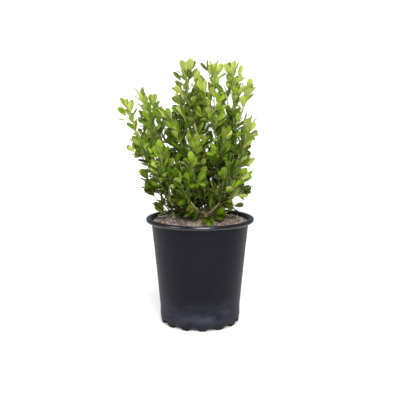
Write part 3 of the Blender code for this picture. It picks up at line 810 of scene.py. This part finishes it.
def add_pair(shoot, share, turn, sizes, fine, rng, filled=()):
    """One leaf on either side of a shoot, wherever there is none yet and there is room."""
    for half in (0, pi):
        if half in filled:
            continue
        found = turn + half + rng.uniform(-TURN_JITTER, TURN_JITTER)
        size = rng.uniform(*sizes)
        for leaf in map(at_true_size, leaf_tries(shoot, share, found, size, rng, FINE_TRIES, FINE_WANDER)):
            if clears_pot(leaf.corners(0, FINE_PAD)) and fine.add(leaf):
                shoot.leaves.append((leaf, share))
                break


def add_bud(shoot, turn, fine, rng):
    """Two small upright leaves that open from the shoot's tip."""
    for half in (0, pi):
        size, angle = rng.uniform(*BUD_SIZES), rng.uniform(*BUD_ANGLES_DEG)
        leaf = at_true_size(leaf_on(shoot, 1.0, turn + half, size, angle))
        if fine.add(leaf, must_be_clear=False):
            shoot.leaves.append((leaf, 1.0))


def fill_out(shoots, fine, rng):
    """The leaves that found no room at the solids' size, a pair in each wide gap, and the tip's bud."""
    for shoot in shoots:
        places = nodes(shoot)
        for i, share in enumerate(places):
            filled = [half for k, half in shoot.filled if k == i]
            add_pair(shoot, share, shoot.first_turn + i * pi / 2, FINE_SIZES, fine, rng, filled)
        for i, (high, low) in enumerate(zip(places, places[1:])):
            if (high - low) * shoot.length() >= FINE_GAP:
                turn = shoot.first_turn + (i + 0.5) * pi / 2
                add_pair(shoot, (high + low) / 2, turn, FINE_SIZES, fine, rng)
        add_bud(shoot, shoot.first_turn + pi / 2, fine, rng)


def leafy_sprig(point, tip, first, gap, sizes, fine, rng):
    """A short twig with crossed pairs of leaves, in a list that is empty if fewer than two have room."""
    sprig = Limb(arc(point, tip, SPUR_PIECES), SPUR_RADII, point)
    if not clears_pot(sprig.points[1:]):
        return []
    reach = (tip - point).length
    for i in range(max(2, round(reach / gap))):
        place = TIP_SHARE * (1 - i * gap * PAIR_CROWDING / reach)
        if place < BARE_FOOT:
            break
        add_pair(sprig, place, first + i * pi / 2, sizes, fine, rng)
    return [sprig] if len(sprig.leaves) >= 2 else []


def grow_spurs(limbs, shoots, fine, rng):
    """Spurs along the boughs and stems inside the crown, and along the shoots."""
    hosts = [(limb, *DEEP_ZONE, DEEP_SPACING) for limb in limbs.values()]
    hosts += [(shoot, *SPUR_ZONE, SPUR_SPACING) for shoot in shoots]
    found = []
    for host, low, high, spacing in hosts:
        count = round(host.length() * (high - low) / spacing)
        turn = rng.uniform(0, tau)
        for i in range(count):
            turn += TWIG_TURN + rng.uniform(-TURN_JITTER, TURN_JITTER)
            point, direction = host.at(low + (high - low) * (i + rng.uniform(0, SPUR_SHIFT)) / count)
            if point.z < SPUR_LOWEST:
                continue
            heading = leaning(direction, turn, SPUR_LEAN).normalized()
            tip = point + heading * rng.uniform(*SPUR_LENGTHS)
            first = rng.uniform(0, pi)
            found += leafy_sprig(point, tip, first, SPUR_LEAF_GAP, SPUR_SIZES, fine, rng)
    return found


def nearest_on(shoots, place):
    """The point of some shoots' middle lines that is nearest to a place."""
    points = [shoot.at(k / NEAR_STEPS)[0] for shoot in shoots for k in range(NEAR_FIRST, NEAR_STEPS + 1)]
    return min(points, key=lambda point: (point - place).length)


def grow_crown_sprigs(mass_shoots, fine, rng):
    """The sprigs that reach the crown's outline between the masses' own shoots."""
    found = []
    for mass, reaches in CROWN_SPRIGS.items():
        shoots = mass_shoots[mass]
        for reach in map(millimetres, reaches):
            axis = nearest_on(shoots, reach)
            foot = nearest_on(shoots, axis.lerp(reach, 1 - FOOT_ONWARD) - UP * (FOOT_DOWN * FOOT_LEVEL))
            length = max((reach - foot).length - TOP_LEAF_REACH, SHORTEST_SPRIG)
            first = rng.uniform(0, pi)
            tip = foot + (reach - foot).normalized() * length
            for sprig in leafy_sprig(foot, tip, first, SPRIG_LEAF_GAP, SPRIG_SIZES, fine, rng):
                add_bud(sprig, first + pi / 2, fine, rng)
                found.append(sprig)
    return found


def grow_low_sprigs(limbs, fine, rng):
    """The leafy sprigs that hang over the soil round the stems' feet."""
    found = []
    for limb, share, tip in LOW_SPRIGS:
        point = limbs[limb].at(share)[0]
        first = rng.uniform(-TURN_JITTER, TURN_JITTER)
        found += leafy_sprig(point, millimetres(tip), first, SPRIG_LEAF_GAP, SPRIG_SIZES, fine, rng)
    return found


# Meshes


class Batch:
    """Points, faces and material numbers of one joined piece."""

    def __init__(self):
        self.points, self.faces, self.slots = [], [], []
        self.count = 0

    def add(self, points, faces, slots=None):
        self.points.append(np.asarray(points, float))
        self.faces += [[self.count + i for i in face] for face in faces]
        self.slots += slots or [0] * len(faces)
        self.count += len(points)


def piece(name, batch, materials, replaced, smooth=True):
    """One mesh object from a batch, which rides on the plant's body and stands for solids."""
    mesh = bpy.data.meshes.new(name)
    mesh.from_pydata(np.concatenate(batch.points), [], batch.faces)
    mesh.polygons.foreach_set("material_index", batch.slots)
    mesh.polygons.foreach_set("use_smooth", [smooth] * len(batch.faces))
    mesh.update()
    for material in materials:
        mesh.materials.append(material)
    obj = add_object(name, mesh)
    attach(obj, "root")
    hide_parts(*replaced)


def quads(rows, columns, around=True, closed=False):
    """The faces between rows of points. A row can run around, and the last row can meet the first."""
    faces = []
    for i in range(rows if closed else rows - 1):
        here, there = i * columns, (i + 1) % rows * columns
        for k in range(columns if around else columns - 1):
            ahead = (k + 1) % columns
            faces.append([here + k, here + ahead, there + ahead, there + k])
    return faces


def closed_tube(rings, foot, tip):
    """The points and faces of a tube through rings of points, with a fan to a point at each end."""
    count = len(rings[0])
    points = [point for ring in rings for point in ring] + [foot, tip]
    faces = quads(len(rings), count)
    last = (len(rings) - 1) * count
    for k in range(count):
        ahead = (k + 1) % count
        faces += [[ahead, k, len(points) - 2], [last + k, last + ahead, len(points) - 1]]
    return points, faces


def half_width(t):
    """The blade's half width at shares t of its length: a stalk, then an oval widest past its middle."""
    u = np.clip((t - STALK) / (1 - STALK), 0, 1)
    below = np.clip((WIDEST - u) / WIDEST, 0, 1) ** 1.5
    above = np.clip((u - WIDEST) / (1 - WIDEST), 0, 1) ** 2.5
    blade = np.where(u < WIDEST, (1 - below) ** 0.9, np.sqrt(1 - above))
    return np.maximum(np.maximum(blade, STALK_WIDTH), np.where(t > 0.999, TIP_WIDTH, 0))


LEAF_HALF_WIDTHS = half_width(LEAF_ROWS)
ROWS, COLUMNS = len(LEAF_ROWS), len(LEAF_COLUMNS)
BLADE_QUADS = quads(ROWS, COLUMNS, around=False)
LEAF_FACES = [[a, d, c, b] for a, b, c, d in BLADE_QUADS]
LEAF_FACES += [[i + ROWS * COLUMNS for i in (b, c, d, a)] for a, b, c, d in BLADE_QUADS]
RIB_COLUMN = COLUMNS // 2 - 1
LEAF_SLOTS = [
    2 if k == RIB_COLUMN else side for side in (0, 1) for _ in range(ROWS - 1) for k in range(COLUMNS - 1)
]


def add_leaf_mesh(batch, leaf, rng):
    """A leathery blade, folded along its midrib, cupped, arched and twisted, each one its own way."""
    t, c = LEAF_ROWS[:, None], LEAF_COLUMNS[None, :]
    cup, arch, twist, wave, phase = (rng.uniform(*span) for span in LEAF_VARIETY)
    reach = LEAF_HALF_WIDTHS[:, None] * leaf.width / 2
    blade = np.clip((t - STALK) / 0.1, 0, 1)
    groove = GROOVE * (np.abs(np.abs(c) - 0.55) < 0.1) - GROOVE * (np.abs(c) < 0.1)
    up = reach * (cup * c**2 + groove) * blade
    up = up - arch * leaf.length * t**2 + reach * c * twist * t
    up = up + wave * reach * np.sin(phase + 9 * t) * np.abs(c) * blade
    along = t * leaf.length * np.ones_like(c)
    along[-1, 1:-1] -= NOTCH_DEPTH * leaf.length
    full = (1 - np.abs(c) ** 3) * np.sin(np.pi * np.clip(t, 0.02, 0.99)) ** 0.4
    depth = np.where(t < STALK + 0.01, STALK_THICKNESS * (1 - c**2), BLADE_THICKNESS * full)
    axes = [np.array(v) for v in (leaf.along, leaf.across, leaf.face)]
    shells = []
    for lift in (depth / 2, -depth / 2):
        parts = [spread[..., None] * axis for spread, axis in zip((along, reach * c, up + lift), axes)]
        shells.append((np.array(leaf.root) + parts[0] + parts[1] + parts[2]).reshape(-1, 3))
    batch.add(np.concatenate(shells), LEAF_FACES, LEAF_SLOTS)


def smooth_line(points, radii, step):
    """The points and radii of a limb's middle line as a smooth curve, at an even step."""
    found, sizes = [], []
    ends = [points[0] * 2 - points[1], *points, points[-1] * 2 - points[-2]]
    for i in range(len(points) - 1):
        p0, p1, p2, p3 = ends[i : i + 4]
        square, cube = p0 * 2 - p1 * 5 + p2 * 4 - p3, p1 * 3 - p0 - p2 * 3 + p3
        count = max(1, round((p2 - p1).length / step))
        for s in (k / count for k in range(count)):
            found.append((p1 * 2 + (p2 - p0) * s + square * s * s + cube * s**3) / 2)
            sizes.append(radii[i] + (radii[i + 1] - radii[i]) * s)
    return [*found, points[-1]], [*sizes, radii[-1]]


def limb_line(limb, step):
    """A limb's smooth middle line and radii, grown back into what it springs from."""
    points, radii = limb.points, limb.radii
    if (points[0] - limb.sprung_from).length >= JOINT_LEAST:
        points, radii = [limb.sprung_from, *points], [radii[0] * JOINT_SWELL, *radii]
    return smooth_line(points, radii, step)


def add_limb_mesh(batch, line, sizes, sides, relief, slot_of):
    """A closed tube along a line. relief gives the radius's change at a turn and a distance along it."""
    rings = []
    level = line[1] - line[0]
    level = sideways(level.normalized(), 0)
    travelled = 0
    for i, centre in enumerate(line):
        direction = (line[min(i + 1, len(line) - 1)] - line[max(i - 1, 0)]).normalized()
        level = (level - direction * level.dot(direction)).normalized()
        other = direction.cross(level)
        if i:
            travelled += (centre - line[i - 1]).length
        ring = []
        for turn in (tau * k / sides for k in range(sides)):
            radius = sizes[i] * (1 + relief(turn, travelled))
            ring.append(centre + (level * cos(turn) + other * sin(turn)) * radius)
        rings.append(ring)
    points, faces = closed_tube(rings, line[0], line[-1])
    # The two ends have the material of the first and the last side
    slots = [slot_of(points[face[0]]) for face in faces[: -2 * sides]]
    batch.add([tuple(p) for p in points], faces, slots + [slots[0], slots[-1]] * sides)


def bark_relief(seed):
    """Ridges that wind up an old stem, a leaf scar's ring now and then, and small lumps."""

    def relief(turn, travelled):
        place = Vector((cos(turn), sin(turn), travelled * LUMP_RISE)) * LUMP_GRAIN + Vector((seed, 0, 0))
        ridges = RIDGE_HEIGHT * sin(turn * RIDGES + travelled * RIDGE_WIND + seed)
        lumps = sum(h * noise.noise(p) for h, p in zip(LUMP_HEIGHTS, (place, place * LUMP_FINER)))
        ring = (travelled / MM + seed * 3) % SCAR_SPACING
        return ridges + lumps + SCAR_HEIGHT * math.exp(-((ring - SCAR_PLACE) / SCAR_WIDTH) ** 2)

    return relief


def twig_relief(seed):
    """A green twig: four low edges and a swelling under each pair of leaves."""

    def relief(turn, travelled):
        place = (travelled % SWELLING_SPACING - SWELLING_SPACING / 2) / SWELLING_WIDTH
        edges = TWIG_EDGE_HEIGHT * cos(turn * TWIG_EDGES + seed)
        return edges + SWELLING_HEIGHT * math.exp(-(place**2))

    return relief


def bark_slot(point):
    """Tan at the foot, green higher up, with a broken edge between them."""
    height, spread, grain = BARK_EDGE
    return int(point.z >= height + spread * noise.noise(point * grain))


# Materials


def feed(tree, socket, value):
    """Links a node's output into a socket, or sets the socket to a plain value."""
    if isinstance(value, bpy.types.NodeSocket):
        tree.links.new(value, socket)
    else:
        socket.default_value = value


def add_node(tree, kind, inputs):
    """A new shader node, with what each of its inputs gets."""
    node = tree.nodes.new(f"ShaderNode{kind}")
    for key, value in inputs.items():
        feed(tree, node.inputs[key], value)
    return node


def node_material(name, roughness, specular=0.5):
    material = bpy.data.materials.new(name)
    material.use_nodes = True
    shader = material.node_tree.nodes["Principled BSDF"]
    shader.inputs["Roughness"].default_value = roughness
    shader.inputs["Specular IOR Level"].default_value = specular
    return material, material.node_tree, shader


def noise_node(tree, scale, detail=3.0, rough=0.55, stretch=None):
    place = add_node(tree, "TexCoord", {}).outputs["Object"]
    if stretch:
        place = add_node(tree, "Mapping", {"Vector": place, "Scale": stretch}).outputs["Vector"]
    inputs = {"Vector": place, "Scale": scale, "Detail": detail, "Roughness": rough}
    return add_node(tree, "TexNoise", inputs).outputs["Fac"]


def calculate(tree, operation, first, second):
    node = add_node(tree, "Math", {0: first, 1: second})
    node.operation = operation
    return node.outputs[0]


def ramp(tree, factor, stops):
    node = add_node(tree, "ValToRGB", {"Fac": factor})
    while len(node.color_ramp.elements) < len(stops):
        node.color_ramp.elements.new(0.5)
    for element, (place, colour) in zip(node.color_ramp.elements, stops):
        element.position = place
        element.color = (*colour, 1)
    return node.outputs["Color"]


def level_map(tree, factor, *levels):
    """The factor stretched from the first two levels to the last two."""
    keys = ("Value", "From Min", "From Max", "To Min", "To Max")
    return add_node(tree, "MapRange", dict(zip(keys, (factor, *levels)))).outputs["Result"]


def finish_shader(tree, shader, colour, height, strength, distance, roughness=None):
    """Puts the colour and relief, and the roughness where it varies, into the shader."""
    bump = add_node(tree, "Bump", {"Strength": strength, "Distance": distance, "Height": height})
    feed(tree, shader.inputs["Normal"], bump.outputs["Normal"])
    feed(tree, shader.inputs["Base Color"], colour)
    if roughness:
        feed(tree, shader.inputs["Roughness"], roughness)


def mottled(name, colour, spread, scale, roughness, bump_scale, depth, strength, specular=0.5):
    """A material whose colour, roughness and relief vary by noise, alike everywhere."""
    material, tree, shader = node_material(name, roughness[0], specular)
    shades = [tuple(min(c * f, 1) for c in colour) for f in (1 - spread, 1, 1 + spread)]
    tint = ramp(tree, noise_node(tree, scale), list(zip((0.25, 0.5, 0.75), shades)))
    fine = noise_node(tree, bump_scale, 4)
    rough = level_map(tree, fine, 0.3, 0.7, *roughness)
    finish_shader(tree, shader, tint, fine, strength, depth, rough)
    return material


def leaf_materials(tone):
    top, under = LEAF_TONES[tone]
    rib = tuple((a + b) / 2 for a, b in zip(MIDRIB, top))
    name = f"leaf_{tone}"
    return [
        mottled(f"{name}_upper", top, 0.14, 260, (0.18, 0.33), 900, 0.10 * MM, 0.35, 0.21),
        # The paler under face is partly the real underside and partly painted light shining through the
        # leaf
        mottled(f"{name}_under", under, 0.10, 260, (0.6, 0.76), 1100, 0.06 * MM, 0.3, 0.12),
        mottled(f"{name}_midrib", rib, 0.08, 300, (0.45, 0.6), 1200, 0.04 * MM, 0.2),
    ]


def pot_material(kind):
    """Black nursery-pot plastic: soft sheen, faint scuffs, and dried dust smeared low on the wall."""
    colour, gloss, smoothest = PLASTICS[kind]
    material, tree, shader = node_material(f"pot_plastic_{kind}", smoothest, gloss)
    place = add_node(tree, "TexCoord", {}).outputs["Object"]
    height = add_node(tree, "SeparateXYZ", {"Vector": place}).outputs["Z"]
    band = level_map(tree, height, 0.050, 0.022, 0.0, 1.0)
    above_feet = level_map(tree, height, 0.004, 0.016, 0.35, 1.0)
    smears = level_map(tree, noise_node(tree, 26, 4, 0.6, (1, 1, 3.2)), 0.36, 0.68, 0.1, 1.0)
    low_dust = calculate(tree, "MULTIPLY", calculate(tree, "MULTIPLY", band, above_feet), smears)
    scuffs = level_map(tree, noise_node(tree, 130, 3, 0.5, (1, 1, 2.5)), 0.66, 0.78, 0.0, 0.45)
    dust = calculate(tree, "MAXIMUM", low_dust, calculate(tree, "MULTIPLY", scuffs, band))
    faint = level_map(tree, noise_node(tree, 14, 5, 0.6, (1, 1, 0.5)), 0.4, 0.8, 0.0, 0.06)
    dust = calculate(tree, "ADD", dust, faint)
    tint = ramp(tree, dust, [(0.0, colour), (1.0, DUST)])
    rough = level_map(tree, dust, 0.0, 1.0, smoothest, 0.7)
    finish_shader(tree, shader, tint, noise_node(tree, 420, 4), 0.2, 0.1 * MM, rough)
    return material


def soil_material(kind):
    dark, middle, light, scale = SOIL_COLOURS[kind]
    material, tree, shader = node_material(f"soil_{kind}", 0.95)
    grain = calculate(tree, "MULTIPLY", noise_node(tree, scale, 6, 0.7), 0.62)
    patches = calculate(tree, "MULTIPLY", noise_node(tree, 75, 2, 0.5), 0.38)
    both = calculate(tree, "ADD", grain, patches)
    tint = ramp(tree, both, [(0.39, dark), (0.5, middle), (0.61, light)])
    finish_shader(tree, shader, tint, noise_node(tree, scale * 2.2, 6, 0.7), 0.8, 0.8 * MM)
    return material


# The pot and its soil


def wall_radius(height):
    """The outer radius of the pot's wall, which tapers down to a short upright band."""
    share = (height - WALL_LOW_HEIGHT) / (UNDER_LIP - WALL_LOW_HEIGHT)
    return WALL_LOW_RADIUS + (WALL_TOP_RADIUS - WALL_LOW_RADIUS) * max(share, 0)


def circle(radius, height, turns):
    return [(radius * cos(turn), radius * sin(turn), height) for turn in turns]


def pot_turns():
    """Angles round the pot, each with how far along the wall it is from the nearest notch's middle."""
    period = tau / NOTCHES
    half_turn = HALF_NOTCH / FOOT_RADIUS
    foot = period - 2 * half_turn
    turns = []
    for i in range(NOTCHES):
        middle = math.radians(FIRST_FOOT_DEG) + period * (i + 0.5)
        for k in range(NOTCH_COLUMNS):
            share = -cos(pi * k / NOTCH_COLUMNS)
            turns.append((middle + half_turn * share, abs(share) * HALF_NOTCH))
        for k in range(FOOT_COLUMNS):
            beyond = foot * k / FOOT_COLUMNS
            aside = min(beyond, foot - beyond) * FOOT_RADIUS
            turns.append((middle + half_turn + beyond, HALF_NOTCH + aside))
    return turns


def notch_arch(offset):
    """A notch's depth at an offset from its middle, as a share of its full depth."""
    share = min(abs(offset) / HALF_NOTCH, 1)
    return (1 - share**ARCH_POWER) ** (1 / ARCH_POWER)


def edge_height(offset):
    """How high the wall's lower edge is: arched over the notches, with the feet's corners rounded."""
    near = [notch_arch(offset + d) for d in np.linspace(-FOOT_ROUNDING, FOOT_ROUNDING, 9)]
    return (NOTCH_RADIUS - NOTCH_DROP) * sum(near) / len(near)


def foot_radius(height):
    """The outer radius near the ground: a crease above the feet, and their ends rolled in."""
    if height < FOOT_ROLL:
        return FOOT_RADIUS + FOOT_SWELL * math.sqrt(height / FOOT_ROLL)
    crease = CREASE_DEPTH / (1 + math.exp((height - CREASE_HEIGHT) / CREASE_SOFTNESS))
    rolled = FOOT_RADIUS + FOOT_SWELL
    slope = min((height - FOOT_ROLL) / (CREASE_HEIGHT - FOOT_ROLL), 1)
    return rolled + (WALL_LOW_RADIUS - CREASE_DEPTH - rolled) * slope + CREASE_DEPTH - crease


def stepped_radius(height):
    """The wall's outer radius, a little less below its fine step."""
    step = STEP_DEPTH / (1 + math.exp((STEP_HEIGHT - height) / STEP_SOFTNESS))
    return wall_radius(height) - STEP_DEPTH + step


def pot_wall():
    """(radius, height) of the wall and lip above the feet, from the inside over the lip and down."""
    section = [(wall_radius(h) - WALL, h) for h in np.linspace(WALL_LOW_HEIGHT, UNDER_LIP, 12)]
    section += [(LIP_RADIUS - inward * MM, POT_HEIGHT - down * MM) for inward, down in LIP_POINTS]
    heights = [*np.linspace(UNDER_LIP - 3 * MM, STEP_HEIGHT + 2 * MM, 6)]
    heights += [STEP_HEIGHT + d * MM for d in STEP_ROWS]
    heights += [*np.linspace(STEP_HEIGHT - 5 * MM, WALL_LOW_HEIGHT + 2 * MM, 14)]
    section += [(stepped_radius(h), h) for h in heights]
    return section + [(WALL_LOW_RADIUS + 0.02 * MM, h * MM) for h in LOW_ROWS]


def plastic_slot(x, y, z):
    """0 on the wall, 1 on the lip's outer roll and 2 on its worn top and inner side."""
    if z < UNDER_LIP:
        return 0
    return 2 if hypot(x, y) < CREST_RADIUS or z > POT_HEIGHT - WORN_DEPTH else 1


def build_pot():
    wall, turns = pot_wall(), pot_turns()
    points = []
    for turn, offset in turns:
        low = edge_height(offset)
        rows = [h * MM for h in CREASE_ROWS]
        free = rows[-1] - low - 0.5 * MM
        rows += [rows[-1] - free * share for share in FOOT_ROWS]
        outside = [(foot_radius(h), h) for h in rows]
        edge = [(foot_radius(low) - inward * MM, low + up * MM) for inward, up in FOOT_EDGE_ROLL]
        inside = [(radius - WALL, h) for radius, h in reversed(outside)]
        section = [*inside, *wall, *outside, *edge]
        points += [(r * cos(turn), r * sin(turn), h) for r, h in section]
    faces = quads(len(turns), len(section), closed=True)
    batch = Batch()
    batch.add(points, faces, [plastic_slot(*points[face[0]]) for face in faces])
    add_pot_floor(batch, turns)
    plastics = [pot_material(kind) for kind in PLASTICS]
    piece("pot_shell", batch, plastics, ["pot"])


def add_pot_floor(batch, turns):
    """The pot's floor: a plate that reaches the wall over the feet and is scalloped at the notches."""
    reach = FOOT_RADIUS - FLOOR_INSET
    outline = [(turn, reach - (reach - NOTCH_INNER) * notch_arch(offset)) for turn, offset in turns]
    low = 0.03 * MM
    rings = [
        [((r + inset) * cos(t), (r + inset) * sin(t), height) for t, r in outline]
        for inset, height in ((-0.5 * MM, low), (0, 0.4 * MM), (0, FLOOR - 0.3 * MM), (-0.4 * MM, FLOOR))
    ]
    batch.add(*closed_tube(rings, (0, 0, low), (0, 0, FLOOR)))


def soil_height(x, y):
    """The mix's surface: low mounds, lumps and grains, falling a little to the wall."""
    edge = max(0, (hypot(x, y) - SOIL_FLAT_RADIUS) / (wall_radius(SOIL_TOP) - SOIL_FLAT_RADIUS))
    lumps = sum(height * noise.noise(Vector((x, y, 0)) * scale) for scale, height in SOIL_LUMPS)
    return SOIL_TOP - SOIL_EDGE_DROP * edge**SOIL_EDGE_POWER + (lumps - SOIL_SINK) * MM


def build_soil(rng):
    """The bed of the mix, from its underside up the wall and over its surface, and the grains on it."""
    edge_radius = wall_radius(SOIL_TOP - SOIL_EDGE_DROP) - WALL - CLEAR
    turns = [tau * k / SOIL_TURNS for k in range(SOIL_TURNS)]
    underside = FLOOR + CLEAR
    rings = [circle(FOOT_RADIUS - WALL - SOIL_FOOT_INSET, underside, turns)]
    rings.append(circle(WALL_LOW_RADIUS - WALL - CLEAR, WALL_LOW_HEIGHT, turns))
    for ring in range(SOIL_RINGS, 0, -1):
        flat = circle(edge_radius * ring / SOIL_RINGS, 0, turns)
        rings.append([(x, y, soil_height(x, y)) for x, y, _ in flat])
    points, faces = closed_tube(rings, (0, 0, underside), (0, 0, soil_height(0, 0)))
    batch = Batch()
    # Faces below the wall's upright band get the darker low material, painted shade where the bed lies
    # under the pot
    batch.add(points, faces, [int(points[face[0]][2] < WALL_LOW_HEIGHT) for face in faces])
    bed = [soil_material("bed"), soil_material("painted_low_shade")]
    piece("soil_bed", batch, bed, ["soil"])
    for kind, (count, *shape) in SOIL_GRAINS.items():
        grains = Batch()
        for _ in range(count):
            add_grain(grains, rng, edge_radius, *shape)
        piece(f"soil_{kind}", grains, [soil_material(kind)], ["soil"], smooth=False)


def add_grain(batch, rng, edge_radius, shortest, longest, flat, slims):
    """One chip, fibre or crumb of the mix, as a rough lump pressed into the surface."""
    size = shortest + (longest - shortest) * rng.random() ** 2
    r = (edge_radius - size / 2) * math.sqrt(rng.random())
    turn = rng.uniform(0, tau)
    x, y = r * cos(turn), r * sin(turn)
    slim = rng.uniform(*slims)
    thick = flat * size * slim
    spin = rng.uniform(0, tau)
    tilt, roll = (rng.uniform(-GRAIN_TILT, GRAIN_TILT) for _ in range(2))
    ahead, aside = cos(spin), sin(spin)
    middle = soil_height(x, y) + thick * GRAIN_RISE
    points = []
    for level, ring in GRAIN_RINGS:
        for k in range(GRAIN_CORNERS):
            a = tau * (k + rng.uniform(-GRAIN_CORNER_SHIFT, GRAIN_CORNER_SHIFT)) / GRAIN_CORNERS
            reach = ring * rng.uniform(*GRAIN_REACHES) * size / 2
            u, v = reach * cos(a), reach * sin(a) * slim
            up = level * thick / 2 + u * tilt + v * roll
            points.append((x + u * ahead - v * aside, y + u * aside + v * ahead, middle + up))
    ends = [[4, 3, 2, 1, 0], [5, 6, 7, 8, 9]]
    batch.add(points, ends + quads(2, GRAIN_CORNERS))


# Stage


def build_stage():
    """A pale floor that rises to a backdrop, which is no wider than the picture needs."""
    wide = [(FLOOR_HALF_WIDTH if z == 0 else BACKDROP_HALF_WIDTH, y, z) for y, z in FLOOR_PROFILE]
    points = [(side * x, y, z) for x, y, z in wide for side in (-1, 1)]
    mesh = bpy.data.meshes.new("pale_floor")
    mesh.from_pydata(points, [], quads(len(wide), 2, around=False))
    mesh.shade_smooth()
    floor = add_object("pale_floor", mesh)
    material, tree, shader = node_material("pale_floor", 0.9)
    feed(tree, shader.inputs["Base Color"], ramp(tree, noise_node(tree, 3), FLOOR_GREYS))
    mesh.materials.append(material)


def build_light_and_camera():
    scene = bpy.context.scene
    world = bpy.data.worlds.new("soft_studio")
    world.use_nodes = True
    background = world.node_tree.nodes["Background"]
    background.inputs["Color"].default_value = (1, 1, 1, 1)
    background.inputs["Strength"].default_value = WORLD_STRENGTH
    scene.world = world
    for name, (place, target, size, power) in LIGHTS.items():
        data = bpy.data.lights.new(name, "AREA")
        data.shape = "RECTANGLE"
        data.size, data.size_y = size
        data.energy = power
        light = add_object(name, data)
        light.location = place
        light.rotation_euler = (Vector(target) - Vector(place)).to_track_quat("-Z", "Y").to_euler()
    data = bpy.data.cameras.new("photo_camera")
    data.lens = CAMERA_LENS
    camera = add_object("photo_camera", data)
    camera.location = CAMERA_PLACE
    camera.rotation_euler = (math.radians(90 - CAMERA_PITCH_DEG), 0, 0)
    scene.camera = camera
    scene.view_settings.view_transform = "Standard"
    scene.view_settings.look = "None"


# The whole plant


def build_stems(limbs):
    bark = [
        mottled("bark_tan", (0.70, 0.53, 0.27), 0.3, 420, (0.62, 0.85), 1500, 0.3 * MM, 0.7),
        mottled("bark_green", (0.56, 0.56, 0.18), 0.22, 420, (0.5, 0.7), 1500, 0.2 * MM, 0.5),
    ]
    for names, title in ((STEMS, "stems"), (BOUGHS, "boughs")):
        batch = Batch()
        for seed, name in enumerate(names):
            line, sizes = limb_line(limbs[name], WOOD_STEP)
            relief = bark_relief(seed * BARK_SEED_STEP)
            add_limb_mesh(batch, line, sizes, MESH_SIDES[title], relief, bark_slot)
        piece(f"woody_{title}", batch, bark, names)


def twig_age_and_shade(shoot):
    """From 0 at the crown's outside and top to 1 deep down inside: partly age, partly painted shade where
    the crown is darkest.
    """
    tip = shoot.points[-1]
    outward = math.dist(tip[:2], CROWN_MIDDLE) / CROWN_RADIUS
    upward = (tip.z - CROWN_FOOT) / CROWN_HEIGHT
    return max(0, min(1, AGE_AND_SHADE_INSIDE - AGE_AND_SHADE_OUTWARD * outward - AGE_AND_SHADE_UPWARD * upward))


def build_twigs(shoots):
    olive = mottled("twig_olive", (0.20, 0.22, 0.065), 0.2, 420, (0.45, 0.62), 1300, 0.12 * MM, 0.4)
    lime = mottled("twig_lime", (0.33, 0.40, 0.10), 0.14, 420, (0.4, 0.55), 1300, 0.08 * MM, 0.3)
    old, young = Batch(), Batch()
    for seed, shoot in enumerate(shoots):
        if not shoot.leaves:
            continue
        line, sizes = limb_line(shoot, TWIG_STEP)
        used = max(share for _, share in shoot.leaves)
        count = max(3, math.ceil(len(line) * min(used + TWIG_PAST_LEAF, 1)))
        line, sizes = line[:count], sizes[:count]
        sizes[-1] *= TWIG_TAPER
        # Twigs deep inside and low in the crown get the olive bark, by age and by painted shade
        batch = young if twig_age_and_shade(shoot) < YOUNG_TWIG_AGE else old
        add_limb_mesh(batch, line, sizes, MESH_SIDES["twigs"], twig_relief(seed), lambda point: 0)
    piece("twigs_olive", old, [olive], MASSES)
    piece("twigs_lime", young, [lime], MASSES)


def build_leaves(shoots, rng):
    batches = {tone: Batch() for tone in TONE_NAMES}
    for shoot in shoots:
        # A twig's age and painted shade deep inside and low in the crown darken its leaves' tones
        age = AGE_WEIGHT * (twig_age_and_shade(shoot) + rng.uniform(-TWIG_AGE_JITTER, TWIG_AGE_JITTER))
        for leaf, share in shoot.leaves:
            darkness = age + PLACE_WEIGHT * (1 - share) + rng.uniform(-LEAF_AGE_JITTER, LEAF_AGE_JITTER)
            tone = TONE_NAMES[int(max(0, min(0.999, darkness)) * len(TONE_NAMES))]
            add_leaf_mesh(batches[tone], leaf, rng)
    for tone, batch in batches.items():
        piece(f"leaves_{tone}", batch, leaf_materials(tone), MASSES)


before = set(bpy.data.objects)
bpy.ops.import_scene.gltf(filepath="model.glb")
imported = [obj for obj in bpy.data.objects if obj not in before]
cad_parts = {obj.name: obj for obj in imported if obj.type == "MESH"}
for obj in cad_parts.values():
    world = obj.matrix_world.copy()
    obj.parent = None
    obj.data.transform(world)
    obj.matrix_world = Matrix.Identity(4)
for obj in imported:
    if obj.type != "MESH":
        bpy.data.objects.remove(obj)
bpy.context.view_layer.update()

section = new_section()
solid_crown = Crown()
limbs = grow_wood(solid_crown, section)
masses = grow_shoots(limbs, solid_crown, section)
bpy.data.objects.remove(section)

mass_shoots = fine_shoots(masses, solid_crown)
shoots = [shoot for found in mass_shoots.values() for shoot in found]
fine = FineCrown(solid_crown.wood, limbs)
for shoot in shoots:
    shoot.leaves = [(leaf, share) for leaf, share in shoot.leaves if fine.add(leaf, must_be_clear=False)]
sprigs = grow_crown_sprigs(mass_shoots, fine, random.Random(26))
sprigs += grow_low_sprigs(limbs, fine, random.Random(33))
fill_out(shoots, fine, random.Random(77))
twigs = shoots + sprigs + grow_spurs(limbs, shoots, fine, random.Random(99))

build_stems(limbs)
build_twigs(twigs)
build_leaves(twigs, random.Random(5))
build_pot()
build_soil(random.Random(12))
build_stage()
build_light_and_camera()
